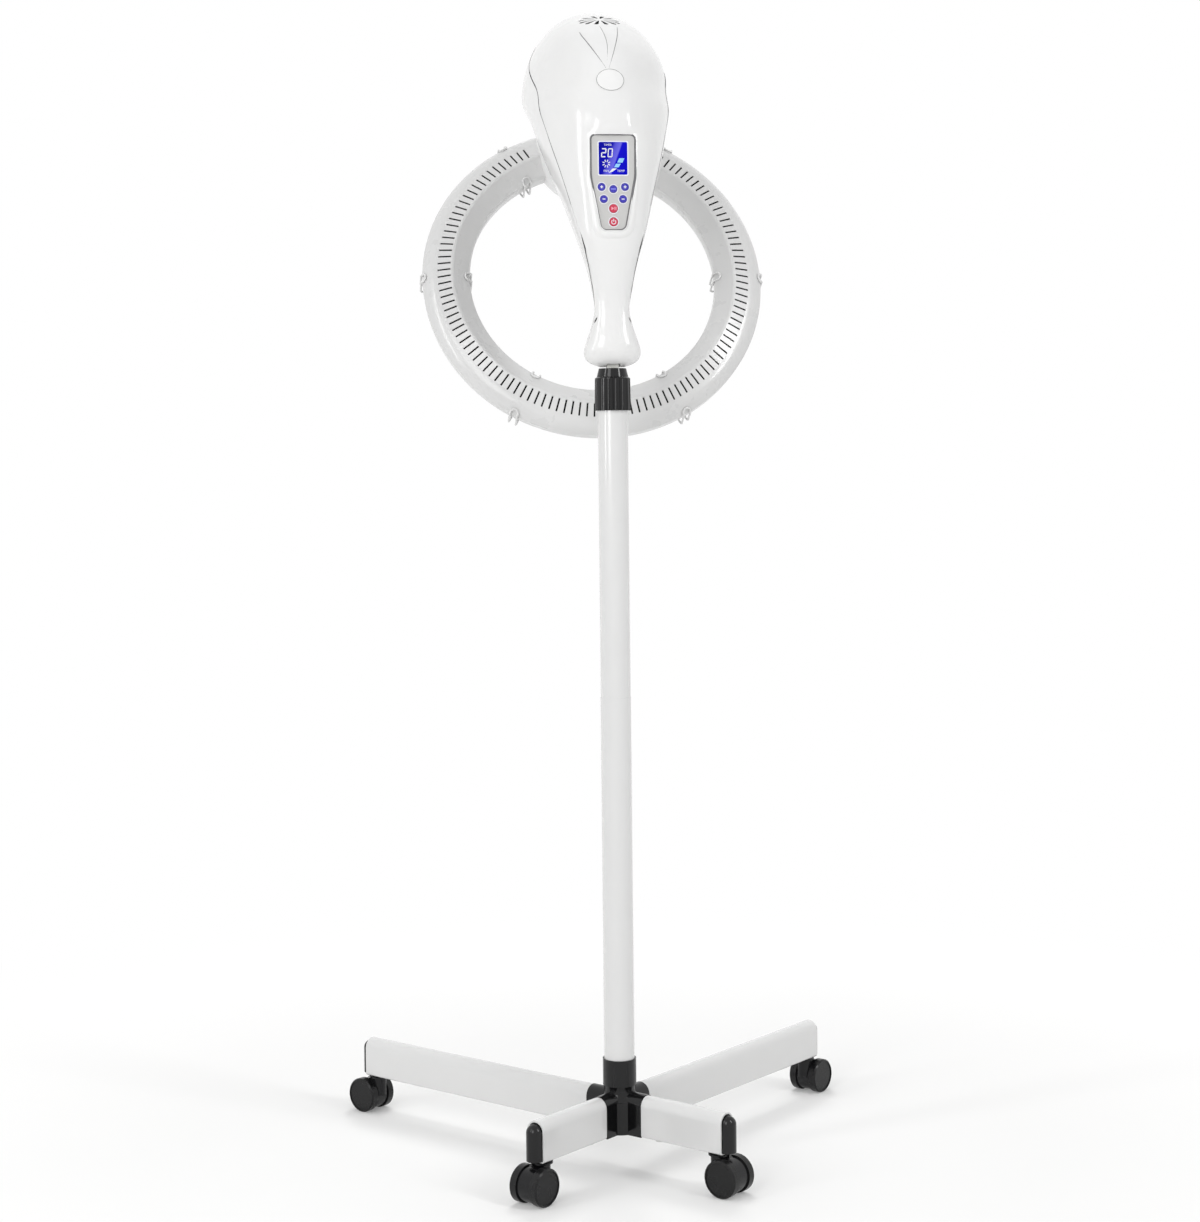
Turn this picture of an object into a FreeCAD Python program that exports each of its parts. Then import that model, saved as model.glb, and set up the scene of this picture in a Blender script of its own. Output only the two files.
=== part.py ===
import FreeCAD, Part
import math
import os
import re

import Sketcher
from FreeCAD import Placement, Rotation, Vector

# A free-standing hair color processor: a caster base, a telescopic pole, a teardrop
# control head that swivels and tilts on it, and a heating ring that orbits the
# client's head. Millimetres, +Z up, the origin on the floor at the pole's axis.
# The client sits on the +Y side and the operator stands on the -Y side.

SIZES = {
    # base
    "leg_width": 26.0,
    "leg_top": 100.0,
    "leg_underside": 50.0,
    "leg_wall": 2.0,
    "leg_corner": 3.0,
    "leg_spread": 45.0,
    "rear_leg_end": 432.0,
    "front_leg_end": 164.0,
    "hub_barrel_radius": 27.0,
    "hub_shoulder_height": 90.0,
    "hub_shoulder_top": 108.0,
    "hub_shoulder_curve": 14.0,
    "hub_arm_end": 43.0,
    "hub_sleeve_radius": 21.0,
    "hub_sleeve_top": 141.0,
    "hub_floor": 68.0,
    "hub_floor_thickness": 8.0,
    "arm_proud": 0.8,
    "spigot_reach": 36.0,
    "slip_fit": 0.2,
    "leg_screw_radius": 3.0,
    "leg_screw_length": 18.0,
    "leg_screw_inset": 20.0,
    "screw_head_height": 3.0,
    # leg plugs and casters
    "plug_length": 34.0,
    "nose_radius": 10.5,
    "nose_top": 96.4,
    "nose_setback": -1.4,
    "stem_inset": 12.0,
    "stem_radius": 5.5,
    "stem_top": 80.0,
    "caster_trail": 15.0,
    "wheel_radius": 23.0,
    "wheel_width": 11.0,
    "wheel_gap": 20.6,
    "wheel_chamfer": 1.8,
    "wheel_dish": 1.0,
    "wheel_rim": 3.0,
    "axle_radius": 3.5,
    "hood_radius": 21.0,
    "hood_width": 20.0,
    "hood_top": 48.6,
    "neck_plate_radius": 13.0,
    "wheel_clearance": 0.6,
    "running_fit": 0.05,
    # pole
    "pole_bore_radius": 17.25,
    "lower_tube_radius": 19.1,
    "upper_tube_radius": 18.75,
    "pole_joint": 594.0,
    "upper_tube_top": 975.0,
    "pole_bolt_radius": 4.0,
    "pole_bolt_length": 34.0,
    "pole_insert_height": 30.0,
    "spigot_tube_length": 120.0,
    "spigot_tube_wall": 1.5,
    "snap_button_radius": 4.0,
    "snap_button_drop": 25.0,
    "snap_button_proud": 2.4,
    "snap_leaf_length": 34.0,
    "snap_leaf_width": 8.0,
    "snap_leaf_thickness": 1.2,
    # lock collar and mast
    "collar_bottom": 950.0,
    "collar_flute_top": 990.0,
    "collar_top": 1002.0,
    "collar_bottom_radius": 22.5,
    "collar_flute_radius": 21.9,
    "collar_cone_radius": 19.7,
    "collar_top_radius": 17.1,
    "flute_radius": 2.9,
    "flute_depth": 1.9,
    "mast_radius": 14.0,
    "mast_wall": 1.6,
    "mast_bottom": 664.0,
    "mast_top": 1000.0,
    "bush_height": 30.0,
    "collet_bottom": 946.0,
    "part_gap": 0.4,
    # swivel bracket and tilt pin
    "pivot_height": 1030.0,
    "journal_length": 40.0,
    "tongue_width": 15.0,
    "tongue_thickness": 11.0,
    "eye_radius": 10.5,
    "tilt_pin_radius": 5.0,
    "washer_thickness": 1.5,
    "lug_thickness": 3.0,
    "lug_radius": 12.0,
    "spine_knee_position": 150.0,
    "tilt_back": 15.0,
    "tilt_forward": 20.0,
    # head covers
    "cover_wall": 2.5,
    "seam_gap": 0.7,
    "bulb_level": 1360.0,
    "bulb_half_width": 93.8,
    "bulb_front": -8.0,
    "bulb_rear": 265.0,
    "bulb_middle": 180.0,
    "crown_level": 1481.0,
    "crown_position": 242.0,
    "crown_front_power": 1.65,
    "crown_width_power": 1.15,
    "crown_squareness": 2.0,
    "crown_vent_radius": 27.0,
    "crown_vent_eye": 6.5,
    "crown_vent_position": 108.0,
    "crown_vent_drop": 28.6,
    "crown_vent_depth": 16.0,
    "crown_vent_lean": 21.5,
    "petal_root_radius": 0.9,
    "petal_tip_radius": 2.9,
    "neck_vent_height": 9.5,
    "neck_vent_width": 2.6,
    "neck_vent_level": 1061.0,
    "neck_vent_across": 20.9,
    "neck_vent_along": -10.5,
    "neck_vent_lean": 30.0,
    "neck_vent_turn": 50.0,
    # control panel
    "panel_face": -28.6,
    "panel_bottom": 1169.3,
    "panel_top": 1285.6,
    "panel_half_width": 27.3,
    "panel_foot_half_width": 10.5,
    "panel_corner": 6.0,
    "panel_thickness": 2.0,
    "pan_floor": 2.5,
    "panel_edge_gap": 0.5,
    "window_half_width": 17.9,
    "window_bottom": 1236.5,
    "window_height": 40.4,
    "window_corner": 1.5,
    "blue_button_radius": 4.6,
    "red_button_radius": 5.2,
    "button_proud": 0.9,
    "button_travel": 0.8,
    "button_fit": 0.3,
    "upper_button_level": 1222.0,
    "middle_button_level": 1219.4,
    "lower_button_level": 1207.2,
    "start_button_level": 1195.8,
    "power_button_level": 1179.6,
    "upper_button_offset": 14.4,
    "lower_button_offset": 11.8,
    "board_thickness": 1.6,
    "board_half_width": 22.0,
    # badge and cover screws
    "badge_level": 1355.0,
    "badge_half_width": 17.2,
    "badge_half_height": 14.4,
    "badge_proud": 0.8,
    "cover_screw_radius": 1.9,
    "cover_screw_length": 16.0,
    "cover_screw_inset": 8.0,
    "screw_boss_radius": 4.4,
    # cord gland
    "gland_position": 52.0,
    "gland_bottom": 1128.0,
    "gland_height": 34.0,
    "gland_radius": 9.0,
    "gland_bore_radius": 3.6,
    # heating ring
    "ring_lean": 22.8,
    "ring_centre_position": 211.5,
    "ring_centre_level": 1129.0,
    "ring_outer_radius": 226.0,
    "ring_inner_radius": 163.0,
    "ring_middle_radius": 195.0,
    "slot_outer_radius": 206.5,
    "slot_inner_radius": 189.5,
    "band_outer_height": 15.5,
    "band_inner_height": 21.5,
    "ring_lip_radius": 184.5,
    "ring_lip_height": 21.5,
    "ring_front_depth": 24.0,
    "ring_wall": 2.5,
    "slot_width": 2.3,
    "slot_pitch": 2.775,
    "slot_count": 113,
    "grille_inner_radius": 180.0,
    "grille_outer_radius": 206.0,
    "grille_rib": 9.0,
    "reflector_floor": 5.0,
    "reflector_wall": 1.0,
    "heater_radius": 5.0,
    "heater_depth": 13.0,
    "heater_sweep": 104.0,
    "holder_length": 12.0,
    "guard_wire_radius": 1.3,
    "guard_pitch": 7.0,
    "hook_half_width": 5.0,
    "hook_bend": 3.0,
    "hook_gap": 0.25,
    "inner_hook_reach": 8.0,
    "outer_hook_reach": 1.0,
    # orbit drive
    "orbit_axis_angle": 25.0,
    "dome_radius": 70.0,
    "dome_wall": 3.0,
    "dome_back": 28.0,
    "shaft_radius": 8.0,
    "turret_gap": 1.0,
    "turret_radius": 52.0,
    "turret_lip_radius": 61.0,
    "turret_wall": 3.0,
    "turret_plate": 5.0,
    "turret_length": 92.0,
    "bearing_radius": 15.0,
    "motor_radius": 24.0,
    "motor_length": 56.0,
}

# The head's outline: levels up the body, each with its half width, its front and rear
# edges, the place of its widest line, and how square its section is.
HEAD_LEVELS = {
    "sole": (1003.7, 15.0, -7.0, 7.0, 0.0, 2.2),
    "heel": (1008.5, 27.5, -15.5, 15.5, 0.0, 2.2),
    "belly": (1021.0, 35.3, -25.0, 25.5, 0.0, 2.2),
    "instep": (1038.0, 31.2, -25.5, 26.0, 0.0, 2.3),
    "ankle": (1055.0, 25.6, -20.5, 23.5, 0.0, 2.5),
    "neck": (1070.0, 22.0, -18.0, 22.0, 0.0, 2.7),
    "shin": (1098.0, 24.6, -19.5, 27.0, 1.0, 2.8),
    "calf": (1131.0, 32.0, -25.5, 41.0, 4.0, 2.8),
    "waist": (1163.0, 41.9, -30.5, 62.0, 10.0, 2.8),
    "hip": (1211.0, 55.4, -32.5, 107.0, 40.0, 2.7),
    "chest": (1255.0, 69.0, -33.0, 152.0, 73.0, 2.6),
    "brow": (1300.0, 81.4, -31.0, 200.0, 105.0, 2.35),
    "temple": (1330.0, 88.6, -23.0, 236.0, 127.0, 2.2),
}
LEVEL_FIELDS = ("level", "half_width", "front", "rear", "middle", "squareness")

# The parting line between the two covers, seen from the side: position and level.
SEAM_POINTS = (
    (0.0, 990.0), (-3.0, 1080.0), (-14.0, 1165.0), (2.0, 1213.0), (14.0, 1250.0),
    (32.0, 1284.0), (52.0, 1318.0), (85.0, 1355.0), (140.0, 1392.0), (200.0, 1440.0),
    (262.0, 1510.0),
)
COVER_SCREWS = ((17.5, 1118.0), (46.0, 1240.0))
CROWN_ANGLES = (14.0, 28.0, 42.0, 55.0, 66.0, 75.0, 82.0, 87.0)
SECTION_POINTS = 24
REACH = 600.0
GRILLE_WINDOWS = 6
COLLAR_FLUTES = 16
CROWN_PETALS = 12
HEATERS = 3
X, Y, Z = Vector(1, 0, 0), Vector(0, 1, 0), Vector(0, 0, 1)

os.makedirs("parts", exist_ok=True)
doc = FreeCAD.newDocument("HairColorProcessor")
sheet = doc.addObject("Spreadsheet::Sheet", "Sizes")
nodes = []


# ---------------------------------------------------------------- sizes and formulas

def fill_sheet():
    rows = dict(SIZES)
    for station, values in HEAD_LEVELS.items():
        for field, value in zip(LEVEL_FIELDS, values):
            rows[station + "_" + field] = value
    for number, (alias, value) in enumerate(rows.items(), start=1):
        sheet.set("A%d" % number, alias)
        sheet.set("B%d" % number, repr(value))
        sheet.setAlias("B%d" % number, alias)
    doc.recompute()


def formula(rule):
    """Turns the aliases in a rule into references to the sheet."""
    return re.sub(r"\b([a-z]+(?:_[a-z]+)+)\b", r"Sizes.\1", str(rule))


def size(rule):
    value = sheet.evalExpression(formula(rule))
    return float(getattr(value, "Value", value))


def keep(item, label):
    """Names a finished sub-part; its label is the name of its file."""
    item.Label = label
    nodes.append(item)
    return item


# ------------------------------------------------------------------ drawing helpers

def new_body(name):
    return doc.addObject("PartDesign::Body", name)


def arc_centre(start, end, radius, side):
    """The centre of an arc from start to end, on its left for side +1."""
    chord = end.sub(start)
    middle = start.add(end).multiply(0.5)
    rise = math.sqrt(max(radius ** 2 - (chord.Length / 2) ** 2, 0.0))
    normal = Vector(-chord.y, chord.x, 0).normalize()
    return middle.add(normal.multiply(side * rise))


def arc_between(start, end, radius, side):
    """A circular arc from start to end; side +1 puts its centre on the left."""
    centre = arc_centre(start, end, radius, side)
    first, last = (start, end) if side > 0 else (end, start)
    angles = [math.atan2(p.y - centre.y, p.x - centre.x) for p in (first, last)]
    if angles[1] < angles[0]:
        angles[1] += 2 * math.pi
    return Part.ArcOfCircle(Part.Circle(centre, Z, radius), angles[0], angles[1])


def draw(sketch, path):
    """Draws one closed path whose corners and radii follow their rules.

    A corner is (x, y) at the end of a line, or (x, y, radius, side) at the end of an arc.
    """
    corners = [Vector(size(step[0]), size(step[1]), 0) for step in path]
    count = len(path)
    first = sketch.GeometryCount
    shapes, ends = [], []
    for number, step in enumerate(path):
        start, end = corners[number - 1], corners[number]
        if len(step) == 2:
            shapes.append(Part.LineSegment(start, end))
            ends.append((1, 2))
        else:
            shapes.append(arc_between(start, end, size(step[2]), step[3]))
            ends.append((1, 2) if step[3] > 0 else (2, 1))
    sketch.addGeometry(shapes, False)
    rules, bindings = [], []
    for number, step in enumerate(path):
        geometry, after = first + number, (number + 1) % count
        rules.append(Sketcher.Constraint("Coincident", geometry, ends[number][1],
                                         first + after, ends[after][0]))
        for kind, rule in (("DistanceX", step[0]), ("DistanceY", step[1])):
            bindings.append((len(rules), rule))
            rules.append(Sketcher.Constraint(kind, -1, 1, geometry, ends[number][1], size(rule)))
        if len(step) == 4:
            bindings.append((len(rules), step[2]))
            rules.append(Sketcher.Constraint("Radius", geometry, size(step[2])))
    offset = sketch.ConstraintCount
    sketch.addConstraint(rules)
    for index, rule in bindings:
        if isinstance(rule, str):
            sketch.setExpression("Constraints[%d]" % (offset + index), formula(rule))


def draw_circle(sketch, across, up, radius):
    circle = Part.Circle(Vector(size(across), size(up), 0), Z, size(radius))
    geometry = sketch.addGeometry(circle, False)
    offset = sketch.ConstraintCount
    rules = (("DistanceX", across), ("DistanceY", up))
    constraints = [Sketcher.Constraint(kind, -1, 1, geometry, 3, size(rule)) for kind, rule in rules]
    sketch.addConstraint(constraints + [Sketcher.Constraint("Radius", geometry, size(radius))])
    for index, rule in enumerate((across, up, radius)):
        if isinstance(rule, str):
            sketch.setExpression("Constraints[%d]" % (offset + index), formula(rule))


def new_sketch(body, plane, offset=0, turn=None):
    """An empty sketch on one of the body's origin planes, moved along its normal."""
    sketch = body.newObject("Sketcher::SketchObject", body.Name + "_sketch")
    face = next(item for item in body.Origin.OriginFeatures if item.Role == plane)
    sketch.AttachmentSupport = [(face, "")]
    sketch.MapMode = "FlatFace"
    if turn:
        sketch.AttachmentOffset = Placement(Vector(), turn)
    if offset != 0:
        sketch.setExpression("AttachmentOffset.Base.z", formula(offset))
    return sketch


def outline(body, plane, *paths, offset=0, turn=None):
    sketch = new_sketch(body, plane, offset, turn)
    for path in paths:
        if isinstance(path, tuple):
            draw_circle(sketch, *path)
        else:
            draw(sketch, path)
    return sketch


def extrude(body, kind, sketch, length, symmetric=False, backwards=False):
    feature = body.newObject("PartDesign::" + kind, body.Name + "_" + kind.lower())
    feature.Profile = sketch
    feature.setExpression("Length", formula(length))
    if symmetric:
        feature.SideType = "Symmetric"
    feature.Reversed = backwards
    return feature


def turned(body, kind, sketch, angle=360.0):
    """A revolution or groove about the vertical axis of its sketch."""
    feature = body.newObject("PartDesign::" + kind, body.Name + "_" + kind.lower())
    feature.Profile = sketch
    feature.ReferenceAxis = (sketch, ["V_Axis"])
    feature.Angle = angle
    return feature


def pattern(body, feature, count, angle=360.0, angle_rule=None):
    """Repeats a feature about the body's own Z axis."""
    doc.recompute()
    polar = body.newObject("PartDesign::PolarPattern", body.Name + "_pattern")
    polar.Originals = [feature]
    polar.Axis = (next(a for a in body.Origin.OriginFeatures if a.Role == "Z_Axis"), [""])
    polar.Angle = angle
    polar.Occurrences = count
    if angle_rule:
        polar.setExpression("Angle", formula(angle_rule))
    body.Tip = polar
    return polar


def turned_body(name, *paths):
    body = new_body(name)
    turned(body, "Revolution", outline(body, "XZ_Plane", *paths))
    return body


def solid(kind, name, **rules):
    """A Part primitive whose named properties follow their rules."""
    item = doc.addObject("Part::" + kind, name)
    for prop, rule in rules.items():
        item.setExpression(prop, formula(rule))
    return item


def place(item, across=0, along=0, up=0, rotation=None):
    item.Placement = Placement(Vector(), rotation or Rotation())
    for axis, rule in zip("xyz", (across, along, up)):
        item.setExpression("Placement.Base." + axis, formula(rule))
    return item


def cylinder(name, radius, height, across=0, along=0, up=0, rotation=None):
    return place(solid("Cylinder", name, Radius=radius, Height=height), across, along, up, rotation)


def box(name, length, width, height, across, along, up):
    return place(solid("Box", name, Length=length, Width=width, Height=height), across, along, up)


def combine(kind, name, *items):
    """A boolean of whole objects: MultiFuse, MultiCommon, Cut or Compound."""
    item = doc.addObject("Part::" + kind, name)
    if kind == "Cut":
        item.Base, item.Tool = items
    elif kind == "Compound":
        item.Links = list(items)
    else:
        item.Shapes = list(items)
    return item


def shaped(name, shape, placement=None):
    item = doc.addObject("Part::Feature", name)
    item.Shape = shape
    if placement:
        item.Placement = placement
    return item


def arch(half_width, bottom, top, corner=None):
    """An arched section: flat foot, upright sides and a half-round top."""
    spring = "(%s) - (%s)" % (top, half_width)
    left = "-(%s)" % half_width
    path = [(half_width, spring), (0, top, half_width, 1), (left, spring, half_width, 1)]
    if corner is None:
        return [(half_width, bottom)] + path + [(left, bottom)]
    floor = "(%s) + %s" % (bottom, corner)
    inset = "(%s) - %s" % (half_width, corner)
    right = [(inset, bottom), (half_width, floor, corner, 1)]
    return right + path + [(left, floor), ("-(%s)" % inset, bottom, corner, 1)]


# ------------------------------------------------------------------------------ base

HALF_LEG = "leg_width / 2"
HALF_LEG_BORE = "leg_width / 2 - leg_wall"
HALF_SPIGOT = "leg_width / 2 - leg_wall - slip_fit"
HALF_ARM = "leg_width / 2 + arm_proud"
LEGS = {
    "rear_left": ("rear_leg_end", 1, 1),
    "rear_right": ("rear_leg_end", -1, 1),
    "front_left": ("front_leg_end", 1, -1),
    "front_right": ("front_leg_end", -1, -1),
}


def leg_heading(corner):
    """The leg's direction in degrees from +X; left is the -X side."""
    _, left, client = LEGS[corner]
    heading = 90.0 + left * size("leg_spread")
    return heading * client


def make_hub():
    hub = new_body("hub")
    turned(hub, "Revolution", outline(hub, "XZ_Plane", [
        (0, "leg_underside"), ("hub_barrel_radius", "leg_underside"),
        ("hub_barrel_radius", "hub_shoulder_height"),
        ("hub_sleeve_radius", "hub_shoulder_top", "hub_shoulder_curve", -1),
        ("hub_sleeve_radius", "hub_sleeve_top"), (0, "hub_sleeve_top")]))
    for side in (1, -1):
        turn = Rotation(Y, 90.0 - side * size("leg_spread"))
        arm = outline(hub, "XZ_Plane", arch(HALF_ARM, "leg_underside", "leg_top + arm_proud"), turn=turn)
        extrude(hub, "Pad", arm, "2 * hub_arm_end", symmetric=True)
        spigot = outline(hub, "XZ_Plane", turn=turn, *[arch(
            HALF_SPIGOT, "leg_underside + leg_wall + slip_fit", "leg_top - leg_wall - slip_fit")])
        extrude(hub, "Pad", spigot, "2 * (hub_arm_end + spigot_reach)", symmetric=True)
    turned(hub, "Groove", outline(hub, "XZ_Plane", [
        (0, "leg_underside - 1"), ("3 * pole_bolt_radius", "leg_underside - 1"),
        ("3 * pole_bolt_radius", "hub_floor - hub_floor_thickness"),
        ("pole_bolt_radius + slip_fit", "hub_floor - hub_floor_thickness"),
        ("pole_bolt_radius + slip_fit", "hub_floor"),
        ("lower_tube_radius + slip_fit", "hub_floor"),
        ("lower_tube_radius + slip_fit", "hub_sleeve_top + 1"), (0, "hub_sleeve_top + 1")]))
    place_on = "hub_arm_end + leg_screw_inset"
    for corner in LEGS:
        heading = leg_heading(corner)
        hole = outline(hub, "XY_Plane", (place_on, 0, "leg_screw_radius"), turn=Rotation(Z, heading),
                       offset="leg_underside")
        extrude(hub, "Pocket", hole, "leg_screw_length + 1", backwards=True)
    keep(hub, "base_hub")


def make_leg(corner):
    end = LEGS[corner][0]
    leg = new_body("leg_" + corner)
    section = outline(leg, "YZ_Plane", arch(HALF_LEG, "leg_underside", "leg_top", "leg_corner"),
                      arch(HALF_LEG_BORE, "leg_underside + leg_wall", "leg_top - leg_wall"),
                      offset="hub_arm_end")
    extrude(leg, "Pad", section, "%s - hub_arm_end" % end)
    for station, radius in (("hub_arm_end + leg_screw_inset", "leg_screw_radius + slip_fit"),
                            ("%s - stem_inset" % end, "stem_radius + 1")):
        hole = outline(leg, "XY_Plane", (station, 0, radius), offset="leg_underside - 1")
        extrude(leg, "Pocket", hole, "leg_wall + 2", backwards=True)
    leg.Placement = Placement(Vector(), Rotation(Z, leg_heading(corner)))
    keep(leg, "leg_" + corner)


def make_plug(corner):
    end = LEGS[corner][0]
    plug = new_body("plug_" + corner)
    section = outline(plug, "YZ_Plane", arch(
        HALF_SPIGOT, "leg_underside + leg_wall + slip_fit", "leg_top - leg_wall - slip_fit"),
        offset="%s - plug_length" % end)
    extrude(plug, "Pad", section, "plug_length")
    nose = new_sketch(plug, "XZ_Plane")
    spring = "nose_top - nose_radius"
    centre = "%s - nose_setback" % end
    tip = "%s + nose_radius" % centre
    foot = "leg_underside + leg_wall + slip_fit"
    draw(nose, [(centre, foot), (tip, foot), (tip, spring),
                (centre, "nose_top", "nose_radius", 1)])
    axis = nose.addGeometry(Part.LineSegment(Vector(size(centre), 0, 0), Vector(size(centre), 9, 0)), True)
    nose.addConstraint([Sketcher.Constraint("Vertical", axis),
                        Sketcher.Constraint("PointOnObject", 0, 1, axis)])
    turned_nose = plug.newObject("PartDesign::Revolution", "nose_" + corner)
    turned_nose.Profile = nose
    turned_nose.ReferenceAxis = (nose, ["Axis0"])
    turned_nose.Angle = 360.0
    bore = outline(plug, "XY_Plane", ("%s - stem_inset" % end, 0, "stem_radius + running_fit"),
                   offset="leg_underside - 1")
    extrude(plug, "Pocket", bore, "stem_top + 2 - leg_underside", backwards=True)
    plug.Placement = Placement(Vector(), Rotation(Z, leg_heading(corner)))
    keep(plug, "leg_plug_" + corner)


def make_leg_screws():
    screws = []
    for corner in LEGS:
        screw = turned_body("screw_" + corner, [
            (0, "leg_underside - screw_head_height"),
            ("2 * leg_screw_radius", "leg_underside - screw_head_height"),
            ("2 * leg_screw_radius", "leg_underside"), ("leg_screw_radius", "leg_underside"),
            ("leg_screw_radius", "leg_underside + leg_screw_length"),
            (0, "leg_underside + leg_screw_length")])
        turn = Rotation(Z, leg_heading(corner))
        reach = size("hub_arm_end + leg_screw_inset")
        screw.Placement = Placement(turn.multVec(Vector(reach, 0, 0)), turn)
        screws.append(screw)
    keep(combine("Compound", "screws", *screws), "leg_screws")


def caster_place(corner):
    turn = Rotation(Z, leg_heading(corner))
    return Placement(turn.multVec(Vector(size(LEGS[corner][0] + " - stem_inset"), 0, 0)), turn)


def make_caster(corner):
    hood = new_body("hood_" + corner)
    band = outline(hood, "XZ_Plane", ("caster_trail", "wheel_radius", "hood_radius"))
    extrude(hood, "Pad", band, "hood_width", symmetric=True)
    neck = outline(hood, "XY_Plane", (0, 0, "hood_width / 2"), offset="wheel_radius")
    extrude(hood, "Pad", neck, "hood_top - wheel_radius")
    plate_disc = outline(hood, "XY_Plane", (0, 0, "neck_plate_radius"), offset="2 * wheel_radius + wheel_clearance")
    extrude(hood, "Pad", plate_disc, "hood_top - 2 * wheel_radius - wheel_clearance")
    bridge = outline(hood, "XZ_Plane", [
        (0, "wheel_radius"), ("caster_trail", "wheel_radius"),
        ("caster_trail", "wheel_radius + hood_radius"), (0, "hood_top")])
    extrude(hood, "Pad", bridge, "hood_width", symmetric=True)
    stem = outline(hood, "XY_Plane", (0, 0, "stem_radius"), offset="wheel_radius")
    extrude(hood, "Pad", stem, "stem_top - wheel_radius")
    bore = outline(hood, "XZ_Plane", ("caster_trail", "wheel_radius", "axle_radius + running_fit"))
    extrude(hood, "Pocket", bore, "4 * hood_width", symmetric=True)
    hood.Placement = caster_place(corner)
    keep(hood, "caster_%s_hood" % corner)

    wheels = turned_body("wheels_" + corner, [
        (0, "-wheel_gap / 2 - wheel_width + wheel_dish"),
        ("wheel_radius - wheel_rim", "-wheel_gap / 2 - wheel_width + wheel_dish"),
        ("wheel_radius - wheel_rim", "-wheel_gap / 2 - wheel_width"),
        ("wheel_radius - wheel_chamfer", "-wheel_gap / 2 - wheel_width"),
        ("wheel_radius", "-wheel_gap / 2 - wheel_width + wheel_chamfer"),
        ("wheel_radius", "-wheel_gap / 2"), ("axle_radius", "-wheel_gap / 2"),
        ("axle_radius", "wheel_gap / 2"), ("wheel_radius", "wheel_gap / 2"),
        ("wheel_radius", "wheel_gap / 2 + wheel_width - wheel_chamfer"),
        ("wheel_radius - wheel_chamfer", "wheel_gap / 2 + wheel_width"),
        ("wheel_radius - wheel_rim", "wheel_gap / 2 + wheel_width"),
        ("wheel_radius - wheel_rim", "wheel_gap / 2 + wheel_width - wheel_dish"),
        (0, "wheel_gap / 2 + wheel_width - wheel_dish")])
    axle = Placement(Vector(size("caster_trail"), 0, size("wheel_radius")), Rotation(X, 90))
    wheels.Placement = caster_place(corner).multiply(axle)
    keep(wheels, "caster_%s_wheels" % corner)


# ------------------------------------------------------------------------------ pole

def tube(name, outer, inner, bottom, top):
    return turned_body(name, [(inner, bottom), (outer, bottom), (outer, top), (inner, top)])


def make_pole():
    sideways = Rotation(Y, 90)
    level = "pole_joint - snap_button_drop"
    hole = cylinder("snap_hole", "snap_button_radius + slip_fit", "lower_tube_radius + 5", 0, 0, level, sideways)
    lower = tube("lower_tube", "lower_tube_radius", "pole_bore_radius", "hub_floor", "pole_joint")
    keep(combine("Cut", "lower_with_hole", lower, hole), "pole_lower")
    keep(tube("upper_tube", "upper_tube_radius", "pole_bore_radius", "pole_joint", "upper_tube_top"), "pole_upper")
    joiner = tube("joiner", "pole_bore_radius - running_fit", "pole_bore_radius - running_fit - spigot_tube_wall",
                  "pole_joint - spigot_tube_length / 2", "pole_joint + spigot_tube_length / 2")
    hole_again = cylinder("joiner_hole", "snap_button_radius + slip_fit", "lower_tube_radius + 5",
                          0, 0, level, sideways)
    keep(combine("Cut", "joiner_with_hole", joiner, hole_again), "pole_spigot")

    leaf_face = "pole_bore_radius - spigot_tube_wall - 0.9"
    leaf = box("snap_leaf", "snap_leaf_thickness", "snap_leaf_width", "snap_leaf_length",
               "%s - snap_leaf_thickness" % leaf_face, "-snap_leaf_width / 2", "%s - snap_leaf_length / 2" % level)
    stud = turned_body("snap_stud", [
        (0, 0), ("snap_button_radius", 0), ("snap_button_radius", "lower_tube_radius - %s" % leaf_face),
        (0, "lower_tube_radius + snap_button_proud - %s" % leaf_face, "snap_button_radius * 1.15", 1)])
    stud.Placement = Placement(Vector(size(leaf_face), 0, size(level)), sideways)
    keep(combine("MultiFuse", "snap", leaf, stud), "snap_button")

    bolt = turned_body("bolt", [
        (0, "leg_underside + 1.5"), ("1.7 * pole_bolt_radius", "leg_underside + 1.5"),
        ("1.7 * pole_bolt_radius", "hub_floor - hub_floor_thickness"),
        ("pole_bolt_radius", "hub_floor - hub_floor_thickness"),
        ("pole_bolt_radius", "hub_floor - hub_floor_thickness + pole_bolt_length"),
        (0, "hub_floor - hub_floor_thickness + pole_bolt_length")])
    insert = tube("insert", "pole_bore_radius - running_fit", "pole_bolt_radius", "hub_floor",
                  "hub_floor + pole_insert_height")
    keep(combine("Compound", "bolt_and_insert", bolt, insert), "pole_bolt")


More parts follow.
